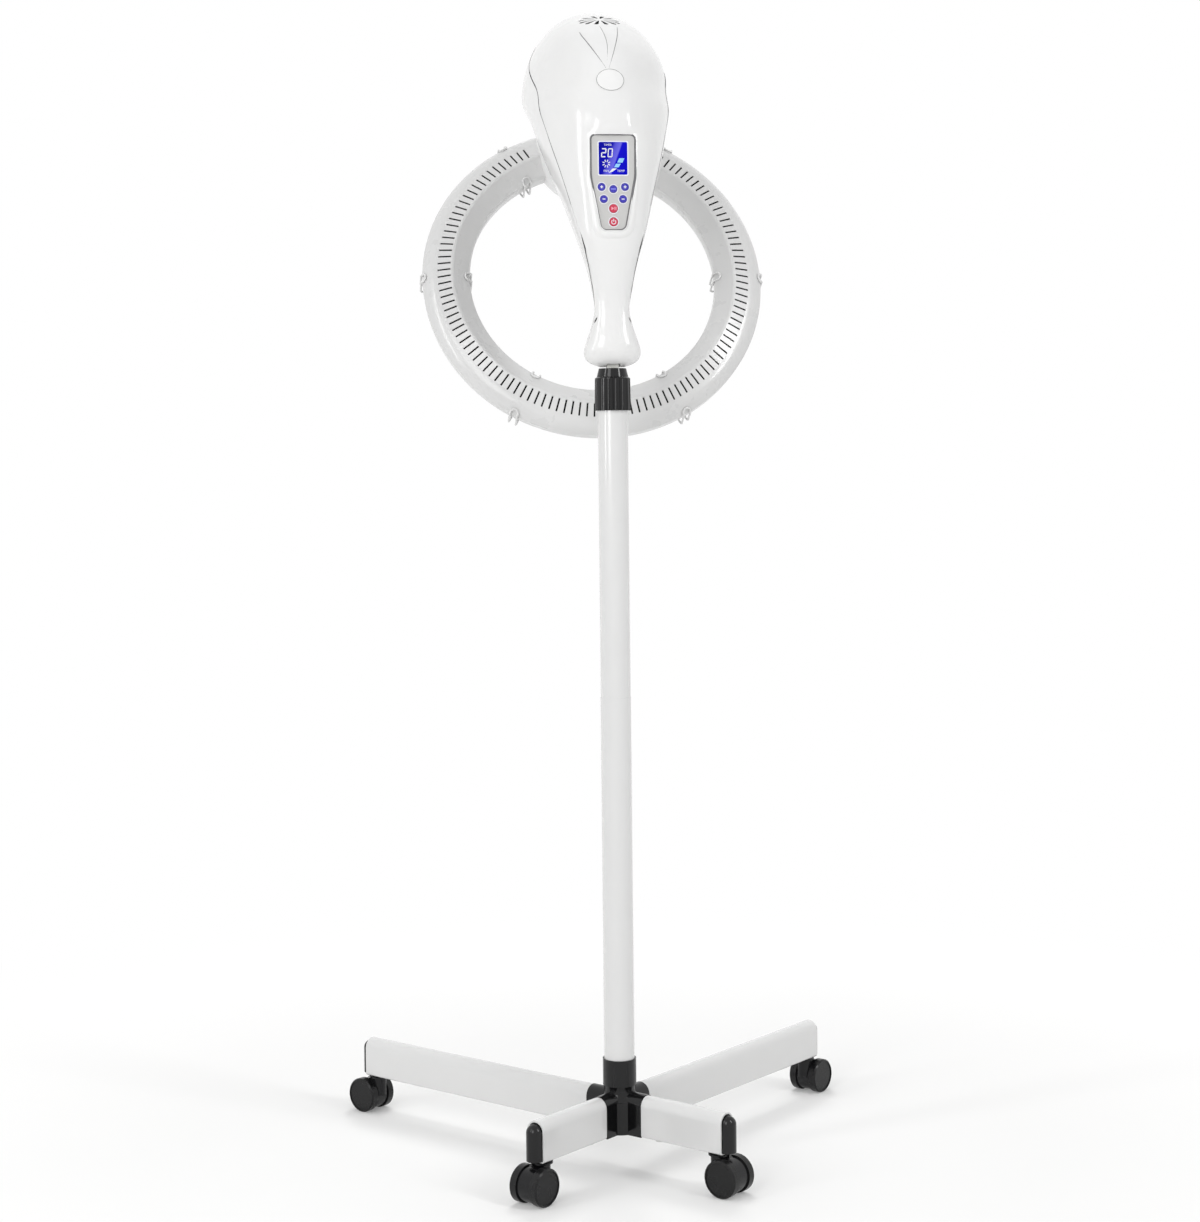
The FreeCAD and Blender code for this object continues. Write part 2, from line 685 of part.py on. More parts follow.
def make_collar():
    grip = "upper_tube_radius + part_gap"
    collar = new_body("collar")
    turned(collar, "Revolution", outline(collar, "XZ_Plane", [
        (grip, "collar_bottom"), ("collar_bottom_radius", "collar_bottom"),
        ("collar_flute_radius", "collar_flute_top"), ("collar_cone_radius", "collar_flute_top + 1.5"),
        ("collar_top_radius", "collar_top"), ("mast_radius + part_gap", "collar_top"),
        ("mast_radius + part_gap", "upper_tube_top + 17"),
        ("mast_radius + part_gap + 2", "upper_tube_top + 15"),
        (grip, "upper_tube_top + 5")]))
    flute = outline(collar, "XY_Plane",
                    ("collar_bottom_radius + flute_radius - flute_depth", 0, "flute_radius"),
                    offset="collar_bottom - 1")
    cut = extrude(collar, "Pocket", flute, "collar_flute_top - collar_bottom", backwards=True)
    pattern(collar, cut, COLLAR_FLUTES, 360.0)
    keep(collar, "lock_collar")

    collet = turned_body("collet", [
        ("mast_radius + 2 * running_fit", "collet_bottom"), ("pole_bore_radius - running_fit", "collet_bottom"),
        ("pole_bore_radius - running_fit", "upper_tube_top"), ("upper_tube_radius - 0.2", "upper_tube_top"),
        ("upper_tube_radius - 0.2", "upper_tube_top + 4"), ("mast_radius + 3", "upper_tube_top + 5"),
        ("mast_radius + 1.3", "upper_tube_top + 13"), ("mast_radius + 2 * running_fit", "upper_tube_top + 13")])
    keep(collet, "lock_collet")


def make_mast():
    keep(tube("mast", "mast_radius", "mast_radius - mast_wall", "mast_bottom", "mast_top"), "mast_tube")
    keep(tube("bush", "pole_bore_radius - running_fit", "mast_radius", "mast_bottom",
              "mast_bottom + bush_height"), "mast_bush")


# ------------------------------------------------------------ swivel bracket and tilt

def make_bracket():
    journal = "mast_radius - mast_wall - running_fit"
    post = turned_body("journal", [
        (0, "mast_top - journal_length"), (journal, "mast_top - journal_length"), (journal, "mast_top + part_gap"),
        ("mast_radius", "mast_top + part_gap"), ("mast_radius", "collar_top"), (0, "collar_top")])
    tongue = box("tongue", "tongue_width", "tongue_thickness", "pivot_height - collar_top + 1",
                 "-tongue_width / 2", "-tongue_thickness / 2", "collar_top - 1")
    sideways = Rotation(Y, 90)
    eye = cylinder("eye", "eye_radius", "tongue_width", "-tongue_width / 2", 0, "pivot_height", sideways)
    blank = combine("MultiFuse", "bracket_blank", post, tongue, eye)
    bore = cylinder("eye_bore", "tilt_pin_radius + running_fit", "tongue_width + 2", "-tongue_width / 2 - 1", 0,
                    "pivot_height", sideways)
    keep(combine("Cut", "bracket", blank, bore), "tilt_bracket")

    reach = "tongue_width / 2 + part_gap + washer_thickness + lug_thickness + 2"
    keep(cylinder("pin", "tilt_pin_radius", "2 * (%s)" % reach, "-(%s)" % reach, 0, "pivot_height", sideways),
         "tilt_pin")
    washers = []
    for name, start in (("right", "tongue_width / 2 + part_gap"),
                        ("left", "-tongue_width / 2 - part_gap - washer_thickness")):
        disc = cylinder("washer_" + name, "eye_radius", "washer_thickness", start, 0, "pivot_height", sideways)
        gap = cylinder("washer_bore_" + name, "tilt_pin_radius", "washer_thickness", start, 0, "pivot_height",
                       sideways)
        washers.append(combine("Cut", "washer_ring_" + name, disc, gap))
    keep(combine("Compound", "washers", *washers), "friction_washers")


# ---------------------------------------------------------------------- head covers

def head_section(level, half_width, front, rear, middle, squareness):
    """A closed level curve: round at the rear, squarer towards the operator."""
    points = []
    for number in range(SECTION_POINTS):
        angle = 2 * math.pi * number / SECTION_POINTS + math.pi / 2
        power = 2.0 / (squareness if math.sin(angle) < 0 else 2.2)
        across = math.copysign(abs(math.cos(angle)) ** power, math.cos(angle)) * half_width
        depth = abs(math.sin(angle)) ** power
        along = middle + (rear - middle) * depth if math.sin(angle) >= 0 else middle - (middle - front) * depth
        points.append(Vector(across, along, level))
    curve = Part.BSplineCurve()
    curve.interpolate(Points=points, PeriodicFlag=True)
    return Part.Wire([curve.toShape()])


def head_solid(inset):
    """The whole teardrop, smaller all round by the inset."""
    sections = []
    base_inset = max(inset, 0.0) * 0.6
    for station in HEAD_LEVELS:
        level, half_width, front, rear, middle, squareness = [
            size(station + "_" + field) for field in LEVEL_FIELDS]
        if station == "sole":
            level += base_inset
        sections.append(head_section(level, half_width - inset, front + inset, rear - inset, middle, squareness))
    bulb, crown = size("bulb_level"), size("crown_level") - inset
    crown_y, power = size("crown_position"), size("crown_front_power")
    slimming, squareness = size("crown_width_power"), size("crown_squareness")
    for angle in (0.0,) + CROWN_ANGLES:
        sine, cosine = math.sin(math.radians(angle)), math.cos(math.radians(angle))
        front_share = (1 - sine ** power) ** (1 / power)
        sections.append(head_section(
            bulb + (crown - bulb) * sine, (size("bulb_half_width") - inset) * cosine ** slimming,
            crown_y - (crown_y - size("bulb_front") - inset) * front_share,
            crown_y + (size("bulb_rear") - inset - crown_y) * cosine,
            crown_y - (crown_y - size("bulb_middle")) * cosine, squareness))
    return Part.makeLoft(sections, True, False)


def seam_block(shift, client_side):
    """Everything on one side of the parting line, which is moved along Y by the shift."""
    curve = Part.BSplineCurve()
    curve.interpolate(Points=[Vector(-REACH / 2, along + shift, level) for along, level in SEAM_POINTS])
    start, end = curve.StartPoint, curve.EndPoint
    far = REACH if client_side else -REACH
    top, bottom = Vector(start.x, far, end.z), Vector(start.x, far, start.z)
    border = Part.Wire([curve.toShape(), Part.makeLine(end, top), Part.makeLine(top, bottom),
                        Part.makeLine(bottom, start)])
    return Part.Face(border).extrude(Vector(REACH, 0, 0))


PANEL_PATH = [
    ("-panel_half_width + panel_corner", "panel_top"),
    ("-panel_half_width", "panel_top - panel_corner", "panel_corner", 1),
    ("-panel_half_width", "panel_bottom + 66"),
    ("-panel_foot_half_width - 6", "panel_bottom + 8"),
    ("-panel_foot_half_width + 1", "panel_bottom", 9, 1),
    ("panel_foot_half_width - 1", "panel_bottom"),
    ("panel_foot_half_width + 6", "panel_bottom + 8", 9, 1),
    ("panel_half_width", "panel_bottom + 66"),
    ("panel_half_width", "panel_top - panel_corner"),
    ("panel_half_width - panel_corner", "panel_top", "panel_corner", 1),
]


def window_path(grow):
    right = "window_half_width + %s" % grow
    low, high = "window_bottom - %s" % grow, "window_bottom + window_height + %s" % grow
    inner = "window_half_width + %s - window_corner" % grow
    return [
        (right, "%s - window_corner" % high), (inner, high, "window_corner", 1),
        ("-(%s)" % inner, high), ("-(%s)" % right, "%s - window_corner" % high, "window_corner", 1),
        ("-(%s)" % right, "%s + window_corner" % low), ("-(%s)" % inner, low, "window_corner", 1),
        (inner, low), (right, "%s + window_corner" % low, "window_corner", 1)]


BUTTONS = {
    "time_up": ("-upper_button_offset", "upper_button_level", "blue_button_radius"),
    "heat_up": ("upper_button_offset", "upper_button_level", "blue_button_radius"),
    "mode": (0, "middle_button_level", "blue_button_radius"),
    "time_down": ("-lower_button_offset", "lower_button_level", "blue_button_radius"),
    "heat_down": ("lower_button_offset", "lower_button_level", "blue_button_radius"),
    "start": (0, "start_button_level", "red_button_radius"),
    "power": (0, "power_button_level", "red_button_radius"),
}


def plate(name, paths, back, thickness):
    """A flat piece square to Y whose rear face lies at back; it grows towards the operator."""
    body = new_body(name)
    extrude(body, "Pad", outline(body, "XZ_Plane", *paths, offset="-(%s)" % back), thickness)
    return body


def button_holes(grow):
    return [(across, up, "%s + %s" % (radius, grow)) for across, up, radius in BUTTONS.values()]


def panel_recess():
    """The block that the control panel's recess takes out of the front cover."""
    grown = plate("recess", [PANEL_PATH], "panel_face + panel_thickness", "60")
    doc.recompute()
    return grown.Shape


def make_covers():
    outer, inner = head_solid(0.0), head_solid(size("cover_wall"))
    gap = size("seam_gap") / 2
    bosses = outer.common(Part.makeCompound([
        Part.makeCylinder(size("screw_boss_radius"), 2 * REACH, Vector(across, -REACH, up), Y)
        for across, up in screw_places()]))
    wall = outer.cut(inner).fuse(bosses)

    rim = plate("pan_rim", [PANEL_PATH], "panel_face + panel_thickness", "30")
    doc.recompute()
    pan_block = rim.Shape.makeOffsetShape(size("pan_floor"), 0.01, join=2)
    recess = panel_recess()
    foot = foot_slot()

    front = wall.common(seam_block(-gap, False))
    front = front.fuse(pan_block.common(outer)).cut(recess).cut(foot)
    floor_cut = plate("floor_holes", [window_path("1.5")], "panel_face + 30", "40")
    doc.recompute()
    front = front.cut(floor_cut.Shape)
    for name, (across, up, radius) in BUTTONS.items():
        centre = Vector(size(across), size("panel_face") - 20, size(up))
        front = front.cut(Part.makeCylinder(size(radius) + size("button_fit"), 60, centre, Y))
    front = front.cut(crown_vents()).cut(neck_vents())
    screws = [cover_screw(across, up) for across, up in screw_places()]
    front = front.cut(Part.makeCompound([shank for shank, _, _ in screws]))
    keep(shaped("front", front), "front_cover")

    rear = wall.common(seam_block(gap, True)).cut(foot)
    rear = rear.cut(drive_cylinder(size("turret_radius"), -size("turret_length") - 200, -size("dome_back")))
    gland = Part.makeCylinder(size("gland_radius"), size("gland_height"),
                              Vector(0, size("gland_position"), size("gland_bottom")), Z)
    rear = rear.cut(gland)
    rear = rear.cut(Part.makeCompound([well for _, _, well in screws]))
    keep(shaped("rear", rear), "rear_cover")
    keep(shaped("screw_set", Part.makeCompound([shank.fuse(head) for shank, head, _ in screws])), "cover_screws")

    proud = head_solid(-size("badge_proud"))
    oval = doc.addObject("Part::Ellipse", "badge_outline")
    oval.setExpression("MajorRadius", formula("badge_half_width"))
    oval.setExpression("MinorRadius", formula("badge_half_height"))
    place(oval, 0, -REACH / 2, "badge_level", Rotation(X, 90))
    doc.recompute()
    column = Part.Face(Part.Wire(oval.Shape.Edges)).extrude(Vector(0, REACH / 2, 0))
    keep(shaped("badge", proud.cut(outer).common(column)), "badge_plate")


def screw_places():
    return [(side * across, up) for across, up in COVER_SCREWS for side in (-1, 1)]


def seam_position(up):
    """Where the parting line runs at a level."""
    for (start, low), (end, high) in zip(SEAM_POINTS, SEAM_POINTS[1:]):
        if low <= up <= high:
            return start + (end - start) * (up - low) / (high - low)
    raise ValueError("the level is off the parting line")


def cover_screw(across, up):
    """A screw that pulls the rear cover to the front one: its shank, head and well."""
    radius = size("cover_screw_radius")
    seat = Vector(across, seam_position(up) + size("cover_screw_inset"), up)
    shank = Part.makeCylinder(radius, size("cover_screw_length"),
                              seat.sub(Vector(0, size("cover_screw_length"), 0)), Y)
    head = Part.makeCylinder(1.8 * radius, 1.3 * radius, seat, Y)
    return shank, head, shank.fuse(Part.makeCylinder(1.8 * radius, REACH, seat, Y))


def foot_slot():
    """The arched slot that lets the tongue tilt in the foot, as a fan about the pivot."""
    half = size("tongue_width") / 2 + 0.7
    reach = size("pivot_height") - size("sole_level") + 12
    spare = math.degrees(math.asin((size("tongue_thickness") / 2 + 1.0) / 24.0))
    start = Vector(-half, 0, size("pivot_height"))
    first, last = 180 - size("tilt_back") - spare, 180 + size("tilt_forward") + spare
    fan = Part.makeCylinder(reach, 2 * half, start, X, last - first)
    fan.rotate(start, X, first)
    return fan.fuse(Part.makeCylinder(size("eye_radius") + 1.5, 2 * half, start, X))


def crown_vents():
    """Petal-shaped openings round an eye on the crown, cut square to its slope."""
    root, tip = size("petal_root_radius"), size("petal_tip_radius")
    near, far = size("crown_vent_eye") + root, size("crown_vent_radius") - tip
    lean = math.asin((tip - root) / (far - near))
    touch = [Vector(along + radius * math.cos(math.pi / 2 + lean), side * radius * math.sin(math.pi / 2 + lean), 0)
             for along, radius in ((near, root), (far, tip)) for side in (1, -1)]
    border = Part.Wire([
        Part.Arc(touch[0], Vector(near - root, 0, 0), touch[1]).toShape(), Part.makeLine(touch[1], touch[3]),
        Part.Arc(touch[3], Vector(far + tip, 0, 0), touch[2]).toShape(), Part.makeLine(touch[2], touch[0])])
    blank = Part.Face(border).extrude(Vector(0, 0, 2 * size("crown_vent_depth")))
    petals = []
    for number in range(CROWN_PETALS):
        petal = blank.copy()
        petal.rotate(Vector(), Z, 360.0 * (number + 0.5) / CROWN_PETALS)
        petals.append(petal)
    vents = Part.makeCompound(petals)
    vents.Placement = Placement(
        Vector(0, size("crown_vent_position"), size("crown_level - crown_vent_drop - crown_vent_depth")),
        Rotation(X, size("crown_vent_lean")))
    return vents


def neck_vents():
    """A slanted slit on each side of the neck, pointed at both ends."""
    reach, half = size("neck_vent_height") / 2, size("neck_vent_width") / 2
    low, high = Vector(0, 0, -reach), Vector(0, 0, reach)
    border = Part.Wire([Part.Arc(low, Vector(-half, 0, 0), high).toShape(),
                        Part.Arc(high, Vector(half, 0, 0), low).toShape()])
    depth = 4 * size("cover_wall")
    slits = []
    for side in (-1, 1):
        slit = Part.Face(border).extrude(Vector(0, depth, 0))
        slit.translate(Vector(0, -depth / 2, 0))
        turn = Rotation(Z, side * size("neck_vent_turn")).multiply(Rotation(Y, -side * size("neck_vent_lean")))
        slit.Placement = Placement(
            Vector(side * size("neck_vent_across"), size("neck_vent_along"), size("neck_vent_level")),
            turn).multiply(slit.Placement)
        slits.append(slit)
    return Part.makeCompound(slits)


def make_spine():
    """The steel channel that carries the drive: two lugs at the pin, then a folded U."""
    inner = "tongue_width / 2 + part_gap + washer_thickness"
    outer = "%s + lug_thickness" % inner
    side = [
        ("-lug_radius + 3", "pivot_height"), (0, "pivot_height - lug_radius + 3", "lug_radius - 3", 1),
        ("lug_radius - 3", "pivot_height", "lug_radius - 3", 1), ("lug_radius - 3", "pivot_height + 104"),
        ("spine_knee_position + 46", "bulb_level - 32"), ("spine_knee_position + 30", "bulb_level - 12"),
        ("-lug_radius + 3", "pivot_height + 130")]
    hollow = [
        ("-lug_radius - 20", "pivot_height - 40"), ("lug_radius + 30", "pivot_height - 40"),
        ("lug_radius + 30", "pivot_height + 16"), ("lug_radius - 6", "pivot_height + 52"),
        ("lug_radius - 6", "pivot_height + 105"), ("spine_knee_position + 45", "bulb_level - 28"),
        ("spine_knee_position + 30", "bulb_level + 30"), ("-lug_radius - 20", "pivot_height + 160")]
    blank, gap = new_body("spine_blank"), new_body("spine_gap")
    extrude(blank, "Pad", outline(blank, "YZ_Plane", side), "2 * (%s)" % outer, symmetric=True)
    extrude(gap, "Pad", outline(gap, "YZ_Plane", hollow), "2 * (%s)" % inner, symmetric=True)
    channel = combine("Cut", "spine_channel", blank, gap)
    bore = cylinder("spine_bore", "tilt_pin_radius", "80", "-40", 0, "pivot_height", Rotation(Y, 90))
    drilled = combine("Cut", "spine_drilled", channel, bore)
    turret = shaped("spine_seat", drive_cylinder(size("turret_radius"), -size("turret_length") - 60, 0))
    keep(combine("Cut", "spine", drilled, turret), "head_spine")


def make_panel():
    front_plate = plate("front_plate", [PANEL_PATH, window_path("0")] + button_holes("button_fit"),
                        "panel_face + panel_thickness", "panel_thickness")
    keep(front_plate, "panel_plate")
    keep(plate("window", [window_path("0")], "panel_face + panel_thickness", "panel_thickness"), "lcd_window")
    board_front = "panel_face + panel_thickness + pan_floor + 3.6"
    keep(plate("display", [window_path("1")], board_front,
               "%s - panel_face - panel_thickness" % board_front), "display_module")
    keep(box("board", "2 * board_half_width", "board_thickness", "panel_top - panel_bottom - 4",
             "-board_half_width", board_front, "panel_bottom + 2"), "main_board")
    inside = "panel_face + panel_thickness + pan_floor"
    for name, (across, up, radius) in BUTTONS.items():
        cap = turned_body("cap_" + name, [
            (0, "-%s - 2" % "(panel_thickness + pan_floor)"),
            ("%s + 0.9" % radius, "-%s - 2" % "(panel_thickness + pan_floor)"),
            ("%s + 0.9" % radius, "-%s - button_fit" % "(panel_thickness + pan_floor)"),
            (radius, "-%s - button_fit" % "(panel_thickness + pan_floor)"),
            (radius, "button_proud - 0.4"), ("%s - 0.4" % radius, "button_proud"), (0, "button_proud")])
        cap.Placement = Placement(Vector(size(across), size("panel_face"), size(up)), Rotation(X, 90))
        keep(cap, "button_" + name)


def make_gland():
    gland = turned_body("gland", [
        ("gland_bore_radius", "gland_bottom"), ("gland_radius - 2.5", "gland_bottom"),
        ("gland_radius", "gland_bottom + 6"), ("gland_radius", "gland_bottom + gland_height"),
        ("gland_bore_radius", "gland_bottom + gland_height")])
    place(gland, 0, "gland_position", 0)
    keep(gland, "cord_gland")


# ----------------------------------------------------------------- ring and its drive

def ring_frame():
    """The ring's own frame: Y up the ring, Z towards the operator."""
    return Placement(Vector(0, size("ring_centre_position"), size("ring_centre_level")),
                     Rotation(X, 90.0 - size("ring_lean")))


def drive_frame():
    """The orbit drive's frame at the ring's top: Z along the axis, towards the client."""
    joint = ring_frame().multVec(Vector(0, size("ring_middle_radius"), 0))
    return Placement(joint, Rotation(X, -90.0 - size("ring_lean") - size("orbit_axis_angle")))


def drive_cylinder(radius, start, end):
    shape = Part.makeCylinder(radius, end - start, Vector(0, 0, start), Z)
    shape.Placement = drive_frame()
    return shape


OUTER_CURVE = "(ring_outer_radius - slot_outer_radius) * 1.05"
REAR_OUTSIDE = [
    ("ring_inner_radius", 0), ("ring_outer_radius", 0),
    ("slot_outer_radius + 0.5", "band_outer_height", "ring_outer_radius - slot_outer_radius + 8", 1),
    ("slot_inner_radius - 1", "band_inner_height"), ("ring_lip_radius", "ring_lip_height - 1", 6, 1),
    ("ring_inner_radius + 1", 6),
]
REAR_INSIDE = [
    ("ring_inner_radius + ring_wall", 0), ("ring_inner_radius + ring_wall + 0.6", "6 - ring_wall / 2"),
    ("ring_lip_radius + 0.6", "ring_lip_height - 1 - ring_wall"),
    ("slot_inner_radius - 1", "band_inner_height - ring_wall"),
    ("slot_outer_radius", "band_outer_height - ring_wall"),
    ("ring_outer_radius - ring_wall", 0, "ring_outer_radius - slot_outer_radius + 5", -1),
]
FRONT_OUTSIDE = [
    ("ring_outer_radius", 0), ("ring_inner_radius", 0),
    ("ring_inner_radius + 1.5", "-ring_front_depth / 2"),
    ("ring_inner_radius + 9", "-ring_front_depth", 14, 1),
    ("ring_outer_radius - 12", "-ring_front_depth"),
    ("ring_outer_radius - 1.5", "-ring_front_depth / 2", 18, 1),
]
FRONT_INSIDE = [
    ("ring_outer_radius - ring_wall", 0), ("ring_outer_radius - 1.5 - ring_wall", "-ring_front_depth / 2 + 0.6"),
    ("ring_outer_radius - 13.5", "-ring_front_depth + ring_wall", 16, -1),
    ("ring_inner_radius + 10.5", "-ring_front_depth + ring_wall"),
    ("ring_inner_radius + 1.5 + ring_wall", "-ring_front_depth / 2 + 0.6", 12, -1),
    ("ring_inner_radius + ring_wall", 0),
]


def half_ring(name, outside, inside, reach):
    """One of the ring's two shells: the solid half-section, hollowed by its inside."""
    shell = new_body(name)
    turned(shell, "Revolution", outline(shell, "XZ_Plane", outside))
    turned(shell, "Groove", outline(shell, "XZ_Plane", inside))
    return shell


def make_ring_shells():
    rear = half_ring("ring_rear", REAR_OUTSIDE, REAR_INSIDE, 1)
    slot = outline(rear, "XY_Plane", [
        ("slot_width / 2", "-slot_inner_radius"), ("-slot_width / 2", "-slot_inner_radius"),
        ("-slot_width / 2", "-slot_outer_radius"), ("slot_width / 2", "-slot_outer_radius")],
        offset="ring_lip_height + 5", turn=Rotation(Z, -size("slot_pitch * (slot_count - 1) / 2")))
    cut = extrude(rear, "Pocket", slot, "ring_lip_height - 3")
    pattern(rear, cut, int(size("slot_count")), angle_rule="slot_pitch * (slot_count - 1)")
    rear.Placement = ring_frame()
    bore = shaped("shaft_bore", drive_cylinder(size("shaft_radius"), -60, 30))
    keep(combine("Cut", "ring_rear_bored", rear, bore), "ring_rear_shell")

    front = half_ring("ring_front", FRONT_OUTSIDE, FRONT_INSIDE, -1)
    window = new_sketch(front, "XY_Plane", offset="-ring_front_depth - 2")
    start = math.radians(30.0) + math.asin(size("grille_rib") / 2 / size("grille_inner_radius"))
    end = math.radians(90.0) - math.asin(size("grille_rib") / 2 / size("grille_inner_radius"))
    draw_sector(window, "grille_inner_radius", "grille_outer_radius", start, end)
    cut = extrude(front, "Pocket", window, "ring_wall + 4", backwards=True)
    pattern(front, cut, GRILLE_WINDOWS)
    front.Placement = ring_frame()
    keep(front, "ring_front_shell")


def draw_sector(sketch, inner, outer, start, end):
    """An annular window between two angles, closed by straight radial edges."""
    corners = []
    for radius, angle in ((inner, start), (outer, start), (outer, end), (inner, end)):
        corners.append(("%s * %.6f" % (radius, math.cos(angle)), "%s * %.6f" % (radius, math.sin(angle))))
    draw(sketch, [corners[0] + (inner, -1), corners[1], corners[2] + (outer, 1), corners[3]])


def make_ring_inside():
    floor, wall = "-reflector_floor", "reflector_wall"
    deep = "-ring_front_depth + ring_wall + 1"
    trough = turned_body("trough", [
        ("grille_inner_radius - 3", deep), ("grille_inner_radius + 3", floor), ("grille_outer_radius - 3", floor),
        ("grille_outer_radius + 3", deep), ("grille_outer_radius + 3 - %s" % wall, deep),
        ("grille_outer_radius - 4", "-reflector_floor - %s" % wall),
        ("grille_inner_radius + 4", "-reflector_floor - %s" % wall),
        ("grille_inner_radius - 3 + %s" % wall, deep)])
    trough.Placement = ring_frame()
    keep(trough, "reflector")

    tubes, holders = [], []
    radius = "(grille_inner_radius + grille_outer_radius) / 2"
    for number in range(HEATERS):
        centre = -90.0 + 360.0 * number / HEATERS
        heater = solid("Torus", "heater_%d" % number, Radius1=radius, Radius2="heater_radius", Angle3="heater_sweep")
        turn = Rotation(Z, centre - size("heater_sweep") / 2)
        heater.Placement = ring_frame().multiply(Placement(Vector(0, 0, -size("heater_depth")), turn))
        tubes.append(heater)
        for side in (-1, 1):
            block = solid("Box", "holder_%d_%d" % (number, side + 1), Length="2 * heater_radius + 4",
                          Width="holder_length", Height="heater_depth + heater_radius - reflector_floor - reflector_wall")
            angle = centre + side * size("heater_sweep") / 2
            corner = Vector(size(radius) - size("heater_radius") - 2, 0 if side > 0 else -size("holder_length"),
                            -size("heater_depth + heater_radius"))
            block.Placement = ring_frame().multiply(
                Placement(Vector(), Rotation(Z, angle))).multiply(Placement(corner, Rotation()))
            holders.append(block)
    keep(combine("Compound", "heaters", *tubes), "heater_tubes")
    keep(combine("Compound", "holders", *holders), "tube_holders")


def bent_path(corners, bends):
    """Straight runs from corner to corner, joined by tangent arcs of the bends' radii."""
    edges, last = [], corners[0]
    for before, corner, after, bend in zip(corners, corners[1:], corners[2:], bends):
        back, ahead = (before - corner).normalize(), (after - corner).normalize()
        half = back.getAngle(ahead) / 2
        start, end = corner + back * (bend / math.tan(half)), corner + ahead * (bend / math.tan(half))
        bisector = (back + ahead).normalize()
        middle = corner + bisector * (bend / math.sin(half) - bend)
        edges += [Part.makeLine(last, start), Part.Arc(start, middle, end).toShape()]
        last = end
    return Part.Wire(edges + [Part.makeLine(last, corners[-1])])


def rod(path, radius):
    """A round wire along a path."""
    first = path.Edges[0]
    section = Part.makeCircle(radius, first.valueAt(first.FirstParameter), first.tangentAt(first.FirstParameter))
    return path.makePipeShell([Part.Wire([section])], True, False)


def hook_runs():
    """The rim hooks' centre line in the ring's radial plane, as (radius, level) corners.

    Each run starts on the client's face, passes round a rim and lies along the
    operator's face: up the inner flank, or over the outer curve.
    """
    stand = size("guard_wire_radius + hook_gap")
    level = size("-ring_front_depth - guard_wire_radius")
    share = size("ring_middle_radius + guard_pitch + 2 * guard_wire_radius")

    foot = Vector(size("ring_inner_radius + 1"), 6, 0)
    flank = (Vector(size("ring_lip_radius"), size("ring_lip_height - 1"), 0) - foot).normalize()
    line = foot + Vector(-flank.y, flank.x, 0) * stand
    rim = size("ring_inner_radius") - stand
    bend = line + flank * ((rim - line.x) / flank.x)
    inner = [(share, level), (rim, level), (rim, bend.y), line + flank * size("inner_hook_reach")]

    edge, top = Vector(size("ring_outer_radius"), 0, 0), Vector(size("slot_outer_radius + 0.5"), size("band_outer_height"), 0)
    radius = size("ring_outer_radius - slot_outer_radius + 8")
    centre = arc_centre(edge, top, radius, 1)
    outward = ((edge - centre) * 2 + (top - centre)).normalize()
    along = Vector(-outward.y, outward.x, 0)
    touch = centre + outward * (radius + stand)
    rim = size("ring_outer_radius") + stand
    bend = touch + along * ((rim - touch.x) / along.x)
    outer = [(share, level), (rim, level), (rim, bend.y), touch + along * size("outer_hook_reach")]
    return [[(point[0], point[1]) for point in run] for run in (inner, outer)]


def make_guard():
    level = "-ring_front_depth - guard_wire_radius"
    pieces = []
    for name, radius in (("inner", "ring_middle_radius - guard_pitch"), ("middle", "ring_middle_radius"),
                         ("outer", "ring_middle_radius + guard_pitch")):
        wire = solid("Torus", "guard_" + name, Radius1=radius, Radius2="guard_wire_radius")
        wire.Placement = Placement(Vector(0, 0, size(level)), Rotation())
        pieces.append(wire)
    half, bend = size("hook_half_width"), size("hook_bend")
    turn = half - size("hook_gap")
    hairpins = []
    for run in hook_runs():
        there = [Vector(radius, half, height) for radius, height in run]
        back = [Vector(radius, -half, height) for radius, height in reversed(run)]
        hairpins.append(rod(bent_path(there + back, [bend, bend, turn, turn, bend, bend]), size("guard_wire_radius")))
    hook = hairpins[0].fuse(hairpins[1])
    for number in range(GRILLE_WINDOWS):
        turned_by = Rotation(Z, 360.0 * number / GRILLE_WINDOWS)
        pieces.append(shaped("hook_%d" % number, hook, Placement(Vector(), turned_by)))
    whole = combine("MultiFuse", "guard_whole", *pieces)
    ball = solid("Sphere", "guard_clearance", Radius="dome_radius + part_gap")
    place(ball, 0, "ring_middle_radius", 0)
    guard = combine("Cut", "guard", whole, ball)
    guard.Placement = ring_frame()
    keep(guard, "wire_guard")


